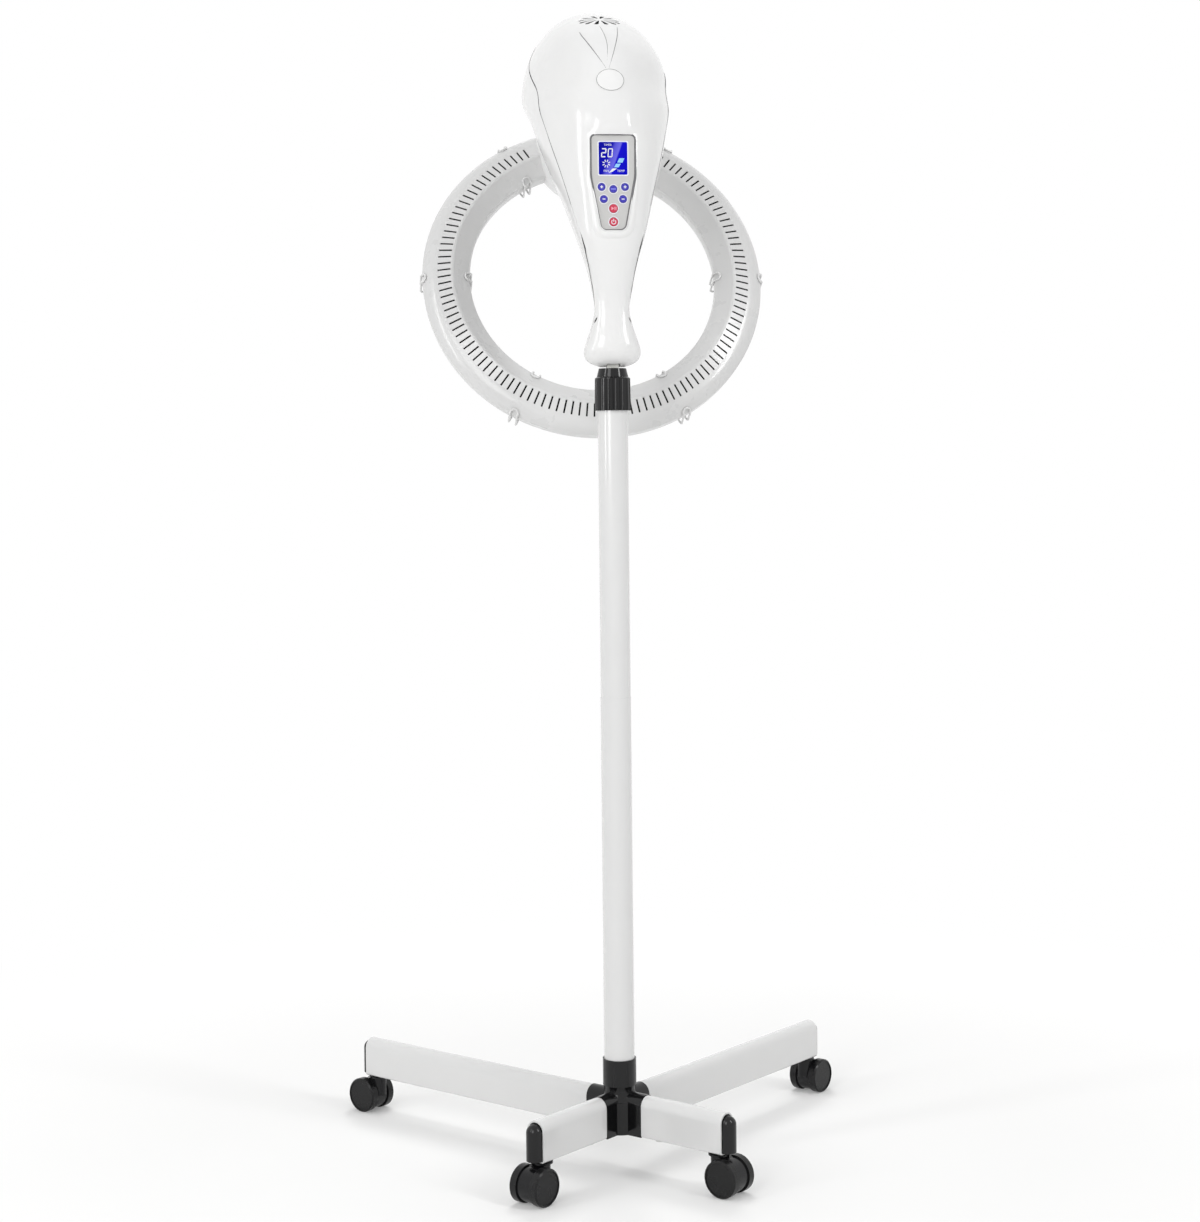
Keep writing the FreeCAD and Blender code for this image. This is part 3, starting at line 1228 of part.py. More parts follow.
def make_drive():
    back = "-dome_back"
    rim = "sqrt(dome_radius * dome_radius - dome_back * dome_back)"
    inner_back = "dome_wall - dome_back"
    inner_radius = "dome_radius - dome_wall"
    inner_rim = "sqrt((dome_radius - dome_wall) ^ 2 - (dome_back - dome_wall) ^ 2)"
    ball = turned_body("ball", [
        ("shaft_radius", back), (rim, back), ("dome_radius", 0, "dome_radius", 1), (0, "dome_radius", "dome_radius", 1),
        (0, inner_radius), (inner_radius, 0, inner_radius, -1), (inner_rim, inner_back, inner_radius, -1),
        ("shaft_radius", inner_back)])
    ball.Placement = drive_frame()
    envelope = combine("MultiFuse", "ring_envelope", envelope_half("envelope_rear", REAR_OUTSIDE),
                       envelope_half("envelope_front", FRONT_OUTSIDE))
    hollow_ball = combine("Cut", "ball_round_ring", ball, envelope)
    half = solid("Box", "client_half", Length="4 * dome_radius", Width="4 * dome_radius", Height="4 * dome_radius")
    half.Placement = ring_frame().multiply(Placement(
        Vector(-size("2 * dome_radius"), size("ring_middle_radius - 2 * dome_radius"), -size("4 * dome_radius")),
        Rotation()))
    keep(combine("Cut", "dome_operator", hollow_ball, half), "orbit_dome")
    keep(combine("MultiCommon", "dome_client", hollow_ball, half), "orbit_cap")

    end = "-dome_back - turret_gap"
    turret = turned_body("turret", [
        ("bearing_radius", end), ("turret_lip_radius", end),
        ("turret_radius", "%s - 16" % end, 20, 1), ("turret_radius", "%s - turret_length" % end),
        ("turret_radius - turret_wall", "%s - turret_length" % end),
        ("turret_radius - turret_wall", "%s - turret_plate" % end), ("bearing_radius", "%s - turret_plate" % end)])
    turret.Placement = drive_frame()
    keep(turret, "orbit_turret")
    bearing = turned_body("bearing", [
        ("shaft_radius + running_fit", end), ("bearing_radius", end), ("bearing_radius", "%s - turret_plate" % end),
        ("shaft_radius + running_fit", "%s - turret_plate" % end)])
    bearing.Placement = drive_frame()
    keep(bearing, "orbit_bearing")
    seat = "%s - turret_plate" % end
    motor = turned_body("motor", [
        (0, "%s - 12" % seat), ("shaft_radius + running_fit", "%s - 12" % seat), ("shaft_radius + running_fit", seat),
        ("motor_radius + 8", seat), ("motor_radius + 8", "%s - 4" % seat), ("motor_radius", "%s - 4" % seat),
        ("motor_radius", "%s - motor_length" % seat), (0, "%s - motor_length" % seat)])
    motor.Placement = drive_frame()
    keep(motor, "orbit_gearmotor")
    shaft = turned_body("shaft", [
        (0, "%s - 11" % seat), ("shaft_radius", "%s - 11" % seat), ("shaft_radius", 0), (0, 0)])
    shaft.Placement = drive_frame()
    keep(shaft, "orbit_shaft")
    rings = turned_body("rings", [
        ("shaft_radius", inner_back), ("shaft_radius + 9", inner_back), ("shaft_radius + 9", "%s + 3" % inner_back),
        ("shaft_radius", "%s + 3" % inner_back)])
    rings.Placement = drive_frame()
    keep(rings, "slip_ring")


def envelope_half(name, outside):
    body = turned_body(name, outside)
    body.Placement = ring_frame()
    return body


# --------------------------------------------------------------------------- the file

def check_and_write():
    doc.recompute()
    faults = [item.Name for item in doc.Objects if "Invalid" in item.State or "Error" in item.State]
    for item in nodes:
        shape = item.Shape
        if shape.isNull() or not shape.isValid() or not shape.Solids:
            faults.append(item.Label)
    if faults:
        raise SystemExit("failed: " + ", ".join(faults))
    for item in nodes:
        item.Shape.exportStep(os.path.join("parts", item.Label + ".step"))
        box_of = item.Shape.BoundBox
        print("%-26s %2d solids %9.0f mm3  z %.1f to %.1f" % (
            item.Label, len(item.Shape.Solids), item.Shape.Volume, box_of.ZMin, box_of.ZMax))


fill_sheet()
make_hub()
for corner_name in LEGS:
    make_leg(corner_name)
    make_plug(corner_name)
make_leg_screws()
for corner_name in LEGS:
    make_caster(corner_name)
make_pole()
make_collar()
make_mast()
make_bracket()
make_covers()
make_spine()
make_panel()
make_gland()
make_ring_shells()
make_ring_inside()
make_guard()
make_drive()
check_and_write()
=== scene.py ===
import math

import bmesh
import bpy
from mathutils import Matrix, Vector
from mathutils.bvhtree import BVHTree


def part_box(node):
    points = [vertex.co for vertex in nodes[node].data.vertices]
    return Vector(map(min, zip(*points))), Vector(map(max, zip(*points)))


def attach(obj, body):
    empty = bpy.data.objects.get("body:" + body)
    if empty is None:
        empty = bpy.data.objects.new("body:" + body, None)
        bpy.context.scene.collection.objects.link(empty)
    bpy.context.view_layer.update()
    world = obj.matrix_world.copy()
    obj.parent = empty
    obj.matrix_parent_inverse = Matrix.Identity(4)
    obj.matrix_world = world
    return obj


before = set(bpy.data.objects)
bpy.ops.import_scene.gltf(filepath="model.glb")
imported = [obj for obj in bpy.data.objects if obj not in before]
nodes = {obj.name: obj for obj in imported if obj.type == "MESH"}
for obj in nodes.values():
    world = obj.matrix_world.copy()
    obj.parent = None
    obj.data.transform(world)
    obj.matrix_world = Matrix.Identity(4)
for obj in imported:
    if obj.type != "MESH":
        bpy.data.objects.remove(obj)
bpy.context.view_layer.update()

# Looks of the hair color processor. Lengths here are millimetres unless a name says
# otherwise; the scene itself is in metres.
MM = 0.001


def at(across, along, up):
    return Vector((across, along, up)) * MM


# ------------------------------------------------------------------------- materials

def add(tree, kind, **values):
    """A shader node with its properties and unlinked inputs set."""
    node = tree.nodes.new("ShaderNode" + kind)
    for name, value in values.items():
        if hasattr(node, name):
            setattr(node, name, value)
        else:
            node.inputs[name.replace("_", " ")].default_value = value
    return node


def noise(tree, place, scale, detail=4.0, stretch=None):
    """Noise in the object's own coordinates, stretched along an axis where asked."""
    if stretch:
        mapping = add(tree, "Mapping")
        mapping.inputs["Scale"].default_value = stretch
        tree.links.new(place, mapping.inputs["Vector"])
        place = mapping.outputs["Vector"]
    node = add(tree, "TexNoise", Scale=scale, Detail=detail)
    tree.links.new(place, node.inputs["Vector"])
    return node.outputs["Fac"]


def spread(tree, source, low, high):
    """Maps the middle of a noise onto a range of values."""
    node = add(tree, "MapRange", From_Min=0.3, From_Max=0.7, To_Min=low, To_Max=high)
    tree.links.new(source, node.inputs["Value"])
    return node.outputs["Result"]


def blend_colours(tree, factor, first, second):
    node = tree.nodes.new("ShaderNodeMix")
    node.data_type = "RGBA"
    node.inputs[6].default_value = (*first, 1)
    node.inputs[7].default_value = (*second, 1)
    tree.links.new(factor, node.inputs[0])
    return node.outputs[2]


def finish_of(name, light, dark, rough, grain, depth, cloud=9.0, stretch=None, **shader):
    """A procedural finish: clouded colour, uneven gloss and a fine surface relief.

    light and dark are its two tones, rough the range of its gloss, grain and depth the
    scale and height of its relief; the rest is set on the shader itself.
    """
    material = bpy.data.materials.new(name)
    material.use_nodes = True
    tree = material.node_tree
    bsdf = tree.nodes["Principled BSDF"]
    for socket, value in shader.items():
        bsdf.inputs[socket.replace("_", " ")].default_value = value
    place = add(tree, "TexCoord").outputs["Object"]
    tone = spread(tree, noise(tree, place, cloud, 3.0, stretch), 0.0, 1.0)
    tree.links.new(blend_colours(tree, tone, light, dark), bsdf.inputs["Base Color"])
    gloss = spread(tree, noise(tree, place, cloud * 7, 5.0, stretch), *rough)
    tree.links.new(gloss, bsdf.inputs["Roughness"])
    bump = add(tree, "Bump", Strength=1.0, Distance=depth * MM)
    tree.links.new(noise(tree, place, grain, 2.0, stretch), bump.inputs["Height"])
    tree.links.new(bump.outputs["Normal"], bsdf.inputs["Normal"])
    return material


# The slanting band on the display: its lean, and where it starts and ends across.
BAND_LEAN, BAND_START, BAND_END = -0.36, -0.4772, -0.4300


def display_material():
    """A lit screen: navy on the left, a pale slanting band, then full blue."""
    material = bpy.data.materials.new("display")
    material.use_nodes = True
    tree = material.node_tree
    bsdf = tree.nodes["Principled BSDF"]
    place = add(tree, "TexCoord").outputs["Object"]
    split = add(tree, "SeparateXYZ")
    tree.links.new(place, split.inputs["Vector"])
    lean = add(tree, "Math", operation="MULTIPLY_ADD")
    lean.inputs[1].default_value = BAND_LEAN
    tree.links.new(split.outputs["Z"], lean.inputs[0])
    tree.links.new(split.outputs["X"], lean.inputs[2])
    across = add(tree, "MapRange", From_Min=BAND_START, From_Max=BAND_END)
    tree.links.new(lean.outputs["Value"], across.inputs["Value"])
    ramp = tree.nodes.new("ShaderNodeValToRGB")
    stops = (
        (0.0, (0.001, 0.001, 0.20)), (0.38, (0.002, 0.002, 0.27)), (0.46, (0.06, 0.055, 0.42)),
        (0.60, (0.10, 0.095, 0.50)), (0.64, (0.003, 0.002, 0.38)), (1.0, (0.001, 0.001, 0.34)))
    for number, (position, colour) in enumerate(stops):
        stop = ramp.color_ramp.elements[number] if number < 2 else ramp.color_ramp.elements.new(position)
        stop.position = position
        stop.color = (*colour, 1)
    tree.links.new(across.outputs["Result"], ramp.inputs["Fac"])
    tree.links.new(ramp.outputs["Color"], bsdf.inputs["Base Color"])
    tree.links.new(ramp.outputs["Color"], bsdf.inputs["Emission Color"])
    gloss = spread(tree, noise(tree, place, 60.0), 0.16, 0.24)
    tree.links.new(gloss, bsdf.inputs["Roughness"])
    bsdf.inputs["Emission Strength"].default_value = 0.45
    bsdf.inputs["Specular IOR Level"].default_value = 0.08
    return material


MATERIALS = {
    "white_gloss": finish_of("white_gloss", (0.80, 0.80, 0.795), (0.765, 0.765, 0.765), (0.16, 0.26),
                             420.0, 0.006, Coat_Weight=0.5, Coat_Roughness=0.06),
    "ring_white": finish_of("ring_white", (0.67, 0.67, 0.668), (0.655, 0.655, 0.653), (0.26, 0.31),
                            700.0, 0.004, cloud=5.0, Coat_Weight=0.3, Coat_Roughness=0.08),
    "dome_white": finish_of("dome_white", (0.79, 0.79, 0.785), (0.76, 0.76, 0.76), (0.18, 0.28), 420.0, 0.006,
                            Coat_Weight=0.4, Coat_Roughness=0.08),
    "white_enamel": finish_of("white_enamel", (0.715, 0.715, 0.712), (0.70, 0.70, 0.698), (0.14, 0.22),
                              650.0, 0.010, Coat_Weight=0.6, Coat_Roughness=0.06),
    "black_plastic": finish_of("black_plastic", (0.004, 0.004, 0.0045), (0.007, 0.007, 0.0075), (0.09, 0.14),
                               900.0, 0.006, Specular_IOR_Level=0.34),
    "grey_panel": finish_of("grey_panel", (0.55, 0.548, 0.54), (0.52, 0.518, 0.51), (0.42, 0.55), 1500.0, 0.012),
    "display": display_material(),
    "circuit": finish_of("circuit", (0.010, 0.060, 0.028), (0.018, 0.085, 0.040), (0.30, 0.45), 800.0, 0.030),
    "blue_key": finish_of("blue_key", (0.036, 0.030, 0.36), (0.050, 0.042, 0.42), (0.22, 0.34), 900.0, 0.008,
                          cloud=90.0),
    "red_key": finish_of("red_key", (0.52, 0.030, 0.070), (0.60, 0.045, 0.090), (0.22, 0.34), 900.0, 0.008, cloud=90.0),
    "caster_black": finish_of("caster_black", (0.006, 0.006, 0.007), (0.010, 0.010, 0.011), (0.16, 0.24),
                              800.0, 0.012, Specular_IOR_Level=0.28),
    "tyre_black": finish_of("tyre_black", (0.007, 0.007, 0.008), (0.012, 0.012, 0.012), (0.24, 0.34), 1100.0, 0.015,
                            Specular_IOR_Level=0.26),
    "steel": finish_of("steel", (0.60, 0.60, 0.59), (0.50, 0.50, 0.50), (0.22, 0.38), 900.0, 0.006,
                       stretch=(1.0, 1.0, 0.05), Metallic=1.0),
    "zinc": finish_of("zinc", (0.66, 0.65, 0.60), (0.56, 0.57, 0.56), (0.30, 0.48), 500.0, 0.010, Metallic=1.0),
    "reflector": finish_of("reflector", (0.84, 0.84, 0.83), (0.78, 0.78, 0.78), (0.10, 0.20), 300.0, 0.008,
                           Metallic=1.0),
    # Painted shade: a near-black for the pieces that darken the ring's slots and the head's vents and slits.
    "felt_black": finish_of("felt_black", (0.006, 0.006, 0.006), (0.016, 0.016, 0.016), (0.85, 0.98), 1800.0, 0.120,
                            cloud=220.0, Specular_IOR_Level=0.1),
    # Painted shade: a dark grey for the beads in the covers' parting line.
    "seam_shade_grey": finish_of("seam_shade_grey", (0.045, 0.045, 0.047), (0.075, 0.075, 0.078), (0.50, 0.65), 900.0, 0.010,
                        cloud=60.0, Specular_IOR_Level=0.25),
    "quartz": finish_of("quartz", (0.70, 0.30, 0.20), (0.56, 0.20, 0.13), (0.08, 0.16), 300.0, 0.006,
                        Coat_Weight=0.8),
    "ceramic": finish_of("ceramic", (0.72, 0.70, 0.64), (0.66, 0.64, 0.58), (0.55, 0.70), 900.0, 0.030),
    "guard": finish_of("guard", (0.74, 0.74, 0.735), (0.69, 0.69, 0.69), (0.22, 0.34), 600.0, 0.010),
    "badge": finish_of("badge", (0.83, 0.83, 0.825), (0.80, 0.80, 0.80), (0.20, 0.30), 500.0, 0.004,
                       Coat_Weight=0.4),
    "print_white": finish_of("print_white", (0.80, 0.80, 0.84), (0.74, 0.74, 0.80), (0.40, 0.55), 1200.0, 0.004,
                             cloud=200.0),
    "print_sky": finish_of("print_sky", (0.30, 0.62, 0.90), (0.24, 0.54, 0.84), (0.30, 0.45), 1200.0, 0.004,
                           cloud=200.0),
    "print_violet": finish_of("print_violet", (0.24, 0.24, 0.80), (0.20, 0.20, 0.72), (0.30, 0.45), 1200.0, 0.004,
                              cloud=200.0),
    # Painted shade: the dark grey of the bead in the gap round the panel plate.
    "gap_shade_grey": finish_of("gap_shade_grey", (0.115, 0.115, 0.12), (0.16, 0.16, 0.165), (0.45, 0.60), 900.0, 0.010,
                            cloud=60.0),
    # Painted shade: the dark grey of the crease lines on the crown; the badge's rim line uses it too.
    "crease_grey": finish_of("crease_grey", (0.16, 0.16, 0.165), (0.24, 0.24, 0.24), (0.35, 0.50), 900.0, 0.006,
                             cloud=60.0),
    "print_pink": finish_of("print_pink", (0.86, 0.42, 0.48), (0.80, 0.34, 0.42), (0.35, 0.50), 1200.0, 0.004,
                            cloud=200.0),
}

for node in nodes.values():
    for slot in node.material_slots:
        slot.material = MATERIALS[slot.material.name.split(".")[0]]


# ------------------------------------------------------------------------ mesh pieces

def piece(name, bm, body, material, smooth=False):
    """Turns a finished bmesh into a piece that rides on a body."""
    bmesh.ops.recalc_face_normals(bm, faces=bm.faces)
    mesh = bpy.data.meshes.new(name)
    bm.to_mesh(mesh)
    bm.free()
    mesh.materials.append(MATERIALS[material])
    if smooth:
        mesh.shade_smooth()
    item = bpy.data.objects.new(name, mesh)
    bpy.context.scene.collection.objects.link(item)
    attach(item, body)
    return item


def prism(bm, outline, back, front):
    """A flat plate square to Y from a closed outline of (across, up) points."""
    rear = [bm.verts.new(at(x, back, z)) for x, z in outline]
    near = [bm.verts.new(at(x, front, z)) for x, z in outline]
    bm.faces.new(near)
    bm.faces.new(rear[::-1])
    count = len(outline)
    for number in range(count):
        after = (number + 1) % count
        bm.faces.new((rear[number], rear[after], near[after], near[number]))


def band(bm, inside, outside, back, front):
    """A flat plate between two closed outlines with as many points each."""
    rows = [[bm.verts.new(at(x, depth, z)) for x, z in line]
            for line, depth in ((inside, back), (inside, front), (outside, front), (outside, back))]
    count = len(inside)
    for number in range(count):
        after = (number + 1) % count
        for row in range(4):
            low, high = rows[row], rows[(row + 1) % 4]
            bm.faces.new((low[number], low[after], high[after], high[number]))


def circle(across, up, radius, count=40, flat=1.0, first=0.0, sweep=360.0):
    points = count if sweep == 360.0 else count + 1
    return [(across + radius * math.cos(math.radians(first + sweep * n / count)),
             up + radius * flat * math.sin(math.radians(first + sweep * n / count))) for n in range(points)]


def bar(across, up, length, width, angle=0.0):
    """A rectangle about a centre, turned by an angle in degrees."""
    c, s = math.cos(math.radians(angle)), math.sin(math.radians(angle))
    corners = ((-1, -1), (1, -1), (1, 1), (-1, 1))
    return [(across + c * a * length / 2 - s * b * width / 2, up + s * a * length / 2 + c * b * width / 2)
            for a, b in corners]


def printed(name, outlines, back, body, material, height=0.12):
    bm = bmesh.new()
    for outline in outlines:
        prism(bm, outline, back, back - height)
    return piece(name, bm, body, material)


# ---------------------------------------------------------------------- display face

def box_of(name):
    """A node's box at rest as its lowest and highest corner in millimetres."""
    return [Vector(corner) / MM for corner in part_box(name)]


PANEL_LOW, PANEL_HIGH = box_of("panel_plate")
SCREEN_LOW, SCREEN_HIGH = box_of("lcd_window")
PANEL_FACE, PANEL_TOP, PANEL_BOTTOM = PANEL_LOW.y, PANEL_HIGH.z, PANEL_LOW.z
PANEL_HALF, PANEL_FOOT_HALF, PANEL_SIDE_END = PANEL_HIGH.x, 10.5, PANEL_LOW.z + 66.0
SCREEN_HALF, SCREEN_BOTTOM, SCREEN_TOP = SCREEN_HIGH.x, SCREEN_LOW.z, SCREEN_HIGH.z
SCREEN_MIDDLE = (SCREEN_BOTTOM + SCREEN_TOP) / 2
KEY_FACE = box_of("button_mode")[0].y


def rounded(corners, steps=8):
    """A closed outline whose corners (across, up, radius) are rounded off."""
    points = []
    count = len(corners)
    for number, (x, z, radius) in enumerate(corners):
        here = Vector((x, z))
        before = Vector(corners[number - 1][:2]) - here
        after = Vector(corners[(number + 1) % count][:2]) - here
        half = before.angle(after) / 2
        reach = radius / math.tan(half)
        start, end = here + before.normalized() * reach, here + after.normalized() * reach
        centre = here + (before.normalized() + after.normalized()).normalized() * radius / math.sin(half)
        for step in range(steps + 1):
            middle = start.lerp(end, step / steps) - centre
            points.append(tuple(centre + middle.normalized() * radius))
    return points


def panel_outline(grow):
    """The control panel's outline, larger all round by grow."""
    half, foot = PANEL_HALF + grow, PANEL_FOOT_HALF + 4.6 + grow * 0.97
    top, bottom = PANEL_TOP + grow, PANEL_BOTTOM - grow
    return rounded([(half, top, 6.0 + grow), (-half, top, 6.0 + grow), (-half, PANEL_SIDE_END, 60.0),
                    (-foot, bottom, 8.0 + grow), (foot, bottom, 8.0 + grow), (half, PANEL_SIDE_END, 60.0)])


def make_screen():
    face, base = PANEL_FACE, SCREEN_BOTTOM
    bm = bmesh.new()
    edge = [(SCREEN_HALF, SCREEN_TOP), (-SCREEN_HALF, SCREEN_TOP), (-SCREEN_HALF, SCREEN_BOTTOM),
            (SCREEN_HALF, SCREEN_BOTTOM)]
    inner = rounded([(math.copysign(abs(x) - 0.3, x), z + math.copysign(0.3, SCREEN_MIDDLE - z), 1.8) for x, z in edge])
    outer = rounded([(math.copysign(abs(x) + 1.1, x), z + math.copysign(1.1, z - SCREEN_MIDDLE), 2.4) for x, z in edge])
    band(bm, inner, outer, face, face - 0.15)
    piece("screen_border", bm, "head", "print_white")

    def digit(across, segments):
        """Seven-segment strokes of one numeral, leaning a little to the right."""
        low, tall, wide, stroke = base + 22.1, 11.0, 6.2, 1.3
        places = {"a": (0.5, 1.0, 0), "g": (0.5, 0.5, 0), "d": (0.5, 0.0, 0), "f": (0.0, 0.75, 90),
                  "b": (1.0, 0.75, 90), "e": (0.0, 0.25, 90), "c": (1.0, 0.25, 90)}
        strokes = []
        for letter in segments:
            share, rise, angle = places[letter]
            length = wide - 1.4 if angle == 0 else tall / 2 - 1.0
            shape = bar(across + share * (wide - stroke), low + rise * (tall - stroke), length, stroke, angle)
            strokes.append([(x + (z - low) * 0.08, z) for x, z in shape])
        return strokes

    printed("screen_digits", digit(-14.2, "abged") + digit(-6.2, "abcdef"), face, "head", "print_white")
    rays = [bar(-8.3 + 3.6 * math.cos(math.radians(a)), base + 13.8 + 3.6 * math.sin(math.radians(a)), 2.7, 1.1, a)
            for a in range(22, 360, 45)]
    printed("screen_fan", rays, face, "head", "print_white")
    printed("screen_steps", [[(5.0, base + 15.1), (11.6, base + 15.1), (14.0, base + 20.3), (7.6, base + 20.3)],
                             [(1.2, base + 9.3), (6.6, base + 9.3), (9.6, base + 13.7), (3.6, base + 13.7)]],
            face, "head", "print_sky")
    printed("screen_step_low", [[(-5.6, base + 2.5), (-0.4, base + 4.3), (4.8, base + 7.9), (-0.6, base + 7.9)]],
            face, "head", "print_white")
    for name, word, across, up, height in (("screen_word_timer", "TIMER", -11.2, base + 35.3, 2.6),
                                           ("screen_word_temp", "TEMP", 5.0, base + 3.7, 2.8),
                                           ("screen_word_fan", "FAN", -11.8, base + 3.9, 2.6)):
        curve = bpy.data.curves.new(name, "FONT")
        curve.body = word
        curve.size = height * 1.36 * MM
        curve.extrude = 0.05 * MM
        text = bpy.data.objects.new(name, curve)
        bpy.context.scene.collection.objects.link(text)
        text.matrix_world = Matrix.Translation(at(across, face - 0.05, up)) @ Matrix.Rotation(math.pi / 2, 4, "X")
        curve.materials.append(MATERIALS["print_white"])
        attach(text, "head")


def key_place(name):
    """A key's centre across and up, and its radius there."""
    low, high = box_of("button_" + name)
    radius = 5.2 if name in ("start", "power") else 4.6
    return (low.x + high.x) / 2, (low.z + high.z) / 2, radius


KEYS = {name: key_place(name)
        for name in ("time_up", "heat_up", "mode", "time_down", "heat_down", "start", "power")}


def make_key_marks():
    for name, (across, up, radius) in KEYS.items():
        bm = bmesh.new()
        band(bm, circle(across, up, radius + 0.35), circle(across, up, radius + 1.5), PANEL_FACE, PANEL_FACE - 0.15)
        piece("key_ring_" + name, bm, "head", "print_white")
        if name.endswith("_up"):
            marks = [bar(across, up, 3.4, 1.1), bar(across, up + 1.15, 1.2, 1.1), bar(across, up - 1.15, 1.2, 1.1)]
        elif name.endswith("_down"):
            marks = [bar(across, up, 3.6, 1.1)]
        elif name == "mode":
            marks = [bar(across, up, 6.2, 1.5)]
        elif name == "start":
            marks = [[(across - 2.6, up - 2.0), (across + 0.6, up), (across - 2.6, up + 2.0)],
                     bar(across + 1.5, up, 0.9, 4.0), bar(across + 3.0, up, 0.9, 4.0)]
        else:
            marks = [bar(across, up + 1.9, 1.0, 3.4)]
        material = "print_violet" if name == "mode" else "print_pink" if name == "start" else "print_white"
        printed("key_mark_" + name, marks, KEY_FACE, "key_" + name, material)
    bm = bmesh.new()
    across, up, _ = KEYS["power"]
    outer = circle(across, up - 0.2, 3.0, 28, 1.0, 125.0, 290.0)
    inner = circle(across, up - 0.2, 2.1, 28, 1.0, 125.0, 290.0)
    prism(bm, outer + inner[::-1], KEY_FACE, KEY_FACE - 0.12)
    piece("key_mark_power_ring", bm, "key_power", "print_white")


# ----------------------------------------------------------------- lines on the covers

def surface(*names):
    """A search tree over some CAD nodes' skins."""
    bm = bmesh.new()
    for name in names:
        bm.from_mesh(nodes[name].data)
    tree = BVHTree.FromBMesh(bm)
    bm.free()
    return tree


def on_cover(tree, across, up, sink=0.0):
    """The cover's front skin at a place seen from the operator's side."""
    hit, normal, _, _ = tree.ray_cast(at(across, -400, up), Vector((0, 1, 0)))
    return hit - normal * sink * MM


def smooth_run(points, steps=12):
    """Catmull-Rom points through (across, up) stations."""
    padded = [points[0]] + list(points) + [points[-1]]
    run = []
    for before, start, end, after in zip(padded, padded[1:], padded[2:], padded[3:]):
        for step in range(steps):
            t = step / steps
            run.append(tuple(0.5 * (2 * b + (c - a) * t + (2 * a - 5 * b + 4 * c - d) * t * t
                                    + (3 * b - a - 3 * c + d) * t ** 3)
                             for a, b, c, d in zip(before, start, end, after)))
    return run + [points[-1]]


def even_run(points, gap):
    """Evenly spaced points along straight runs through the stations."""
    run, left = [], 0.0
    for start, end in zip(points, points[1:]):
        start, end = Vector(start), Vector(end)
        length = (end - start).length
        while left < length:
            run.append(tuple(start.lerp(end, left / length)))
            left += gap
        left -= length
    return run


def bead(name, path, radii, body, material, sides=10, closed=False):
    """A round bead along a path of points in metres, with a radius at each point."""
    bm = bmesh.new()
    rings = []
    count = len(path)
    for number, point in enumerate(path):
        after = path[(number + 1) % count] if closed else path[min(number + 1, count - 1)]
        before = path[number - 1] if closed or number else path[0]
        along = (after - before).normalized()
        side = along.cross(Vector((0, 1, 0))).normalized()
        up = side.cross(along).normalized()
        rings.append([bm.verts.new(point + radii[number] * MM * (
            math.cos(2 * math.pi * n / sides) * side + math.sin(2 * math.pi * n / sides) * up))
            for n in range(sides)])
    for number in range(count if closed else count - 1):
        low, high = rings[number], rings[(number + 1) % count]
        for n in range(sides):
            bm.faces.new((low[n], low[(n + 1) % sides], high[(n + 1) % sides], high[n]))
    if not closed:
        bm.faces.new(rings[0][::-1])
        bm.faces.new(rings[-1])
    return piece(name, bm, body, material, smooth=True)


CREASES = {
    "left": ((-29.5, 1427.0), (-27.0, 1417.0), (-17.7, 1395.0), (-4.7, 1371.0)),
    "middle": ((-3.5, 1436.0), (-0.6, 1420.0), (0.0, 1403.0), (-2.4, 1381.0)),
    "right": ((19.5, 1436.0), (16.0, 1420.0), (7.6, 1395.0), (-0.6, 1371.0)),
}


def make_panel_trim():
    """A dark bead round the plate, painted shade of the gap at its edge, thicker towards the lower right where that
    shade is deepest; and the white lip that cradles its lower part.
    """
    gap_line = [at(x, PANEL_FACE + 0.1, z) for x, z in panel_outline(0.1)]
    middle = (PANEL_TOP + PANEL_BOTTOM) / 2
    # Painted shadow: the bead thickens towards the lower right, where the recess's shade is deepest.
    radii = []
    for spot in gap_line:
        shadow_side = 0.5 * (spot.x / MM / PANEL_HALF) - 0.5 * (spot.z / MM - middle) / (PANEL_TOP - middle)
        radii.append(1.15 + 0.75 * max(0.0, shadow_side))
    bead("panel_gap_shade", gap_line, radii, "head", "gap_shade_grey", closed=True)

    skin = surface("front_cover")
    line = [spot for spot in even_run(panel_outline(1.4), 1.6) if spot[1] < PANEL_TOP - 30.0]
    count = len(line)
    bm = bmesh.new()
    rows = []
    for number, (x, z) in enumerate(line):
        before, after = Vector(line[max(number - 1, 0)]), Vector(line[min(number + 1, count - 1)])
        along = (after - before).normalized()
        outward = Vector((along.y, -along.x))
        share = math.sin(math.pi * number / (count - 1)) ** 0.7
        width, height = 2.0 + 7.0 * share, 0.3 + 1.5 * share
        row = []
        for step in range(9):
            t = step / 8
            spot = Vector((x, z)) + outward * width * t
            lift = height * math.sin(math.pi * min(1.0, 0.12 + 0.88 * t)) ** 0.8 - 0.15
            row.append(bm.verts.new(on_cover(skin, spot.x, spot.y) - Vector((0, lift * MM, 0))))
        rows.append(row)
    for low, high in zip(rows, rows[1:]):
        for step in range(8):
            bm.faces.new((low[step], low[step + 1], high[step + 1], high[step]))
    piece("panel_lip", bm, "head", "white_gloss", smooth=True)


def make_cover_lines():
    skin = surface("front_cover")
    for name, stations in CREASES.items():
        run = [on_cover(skin, x, z, 0.12) for x, z in smooth_run(stations)]
        width = {"left": 0.62, "middle": 0.40, "right": 0.50}[name]
        radii = [width * (0.35 + 0.65 * math.sin(math.pi * min(1.0, (n + 1) / len(run) * 1.15)) ** 0.5)
                 if n < len(run) - 1 else width * 0.5 for n in range(len(run))]
        # Each crease is a dark grey bead: painted shade in the fold of the cover.
        bead("crease_" + name, run, radii, "head", "crease_grey", sides=8)


SEAM = ((-3.0, 1080.0), (-14.0, 1165.0), (2.0, 1213.0), (14.0, 1250.0), (32.0, 1284.0), (52.0, 1318.0),
        (85.0, 1355.0), (140.0, 1392.0), (200.0, 1440.0))


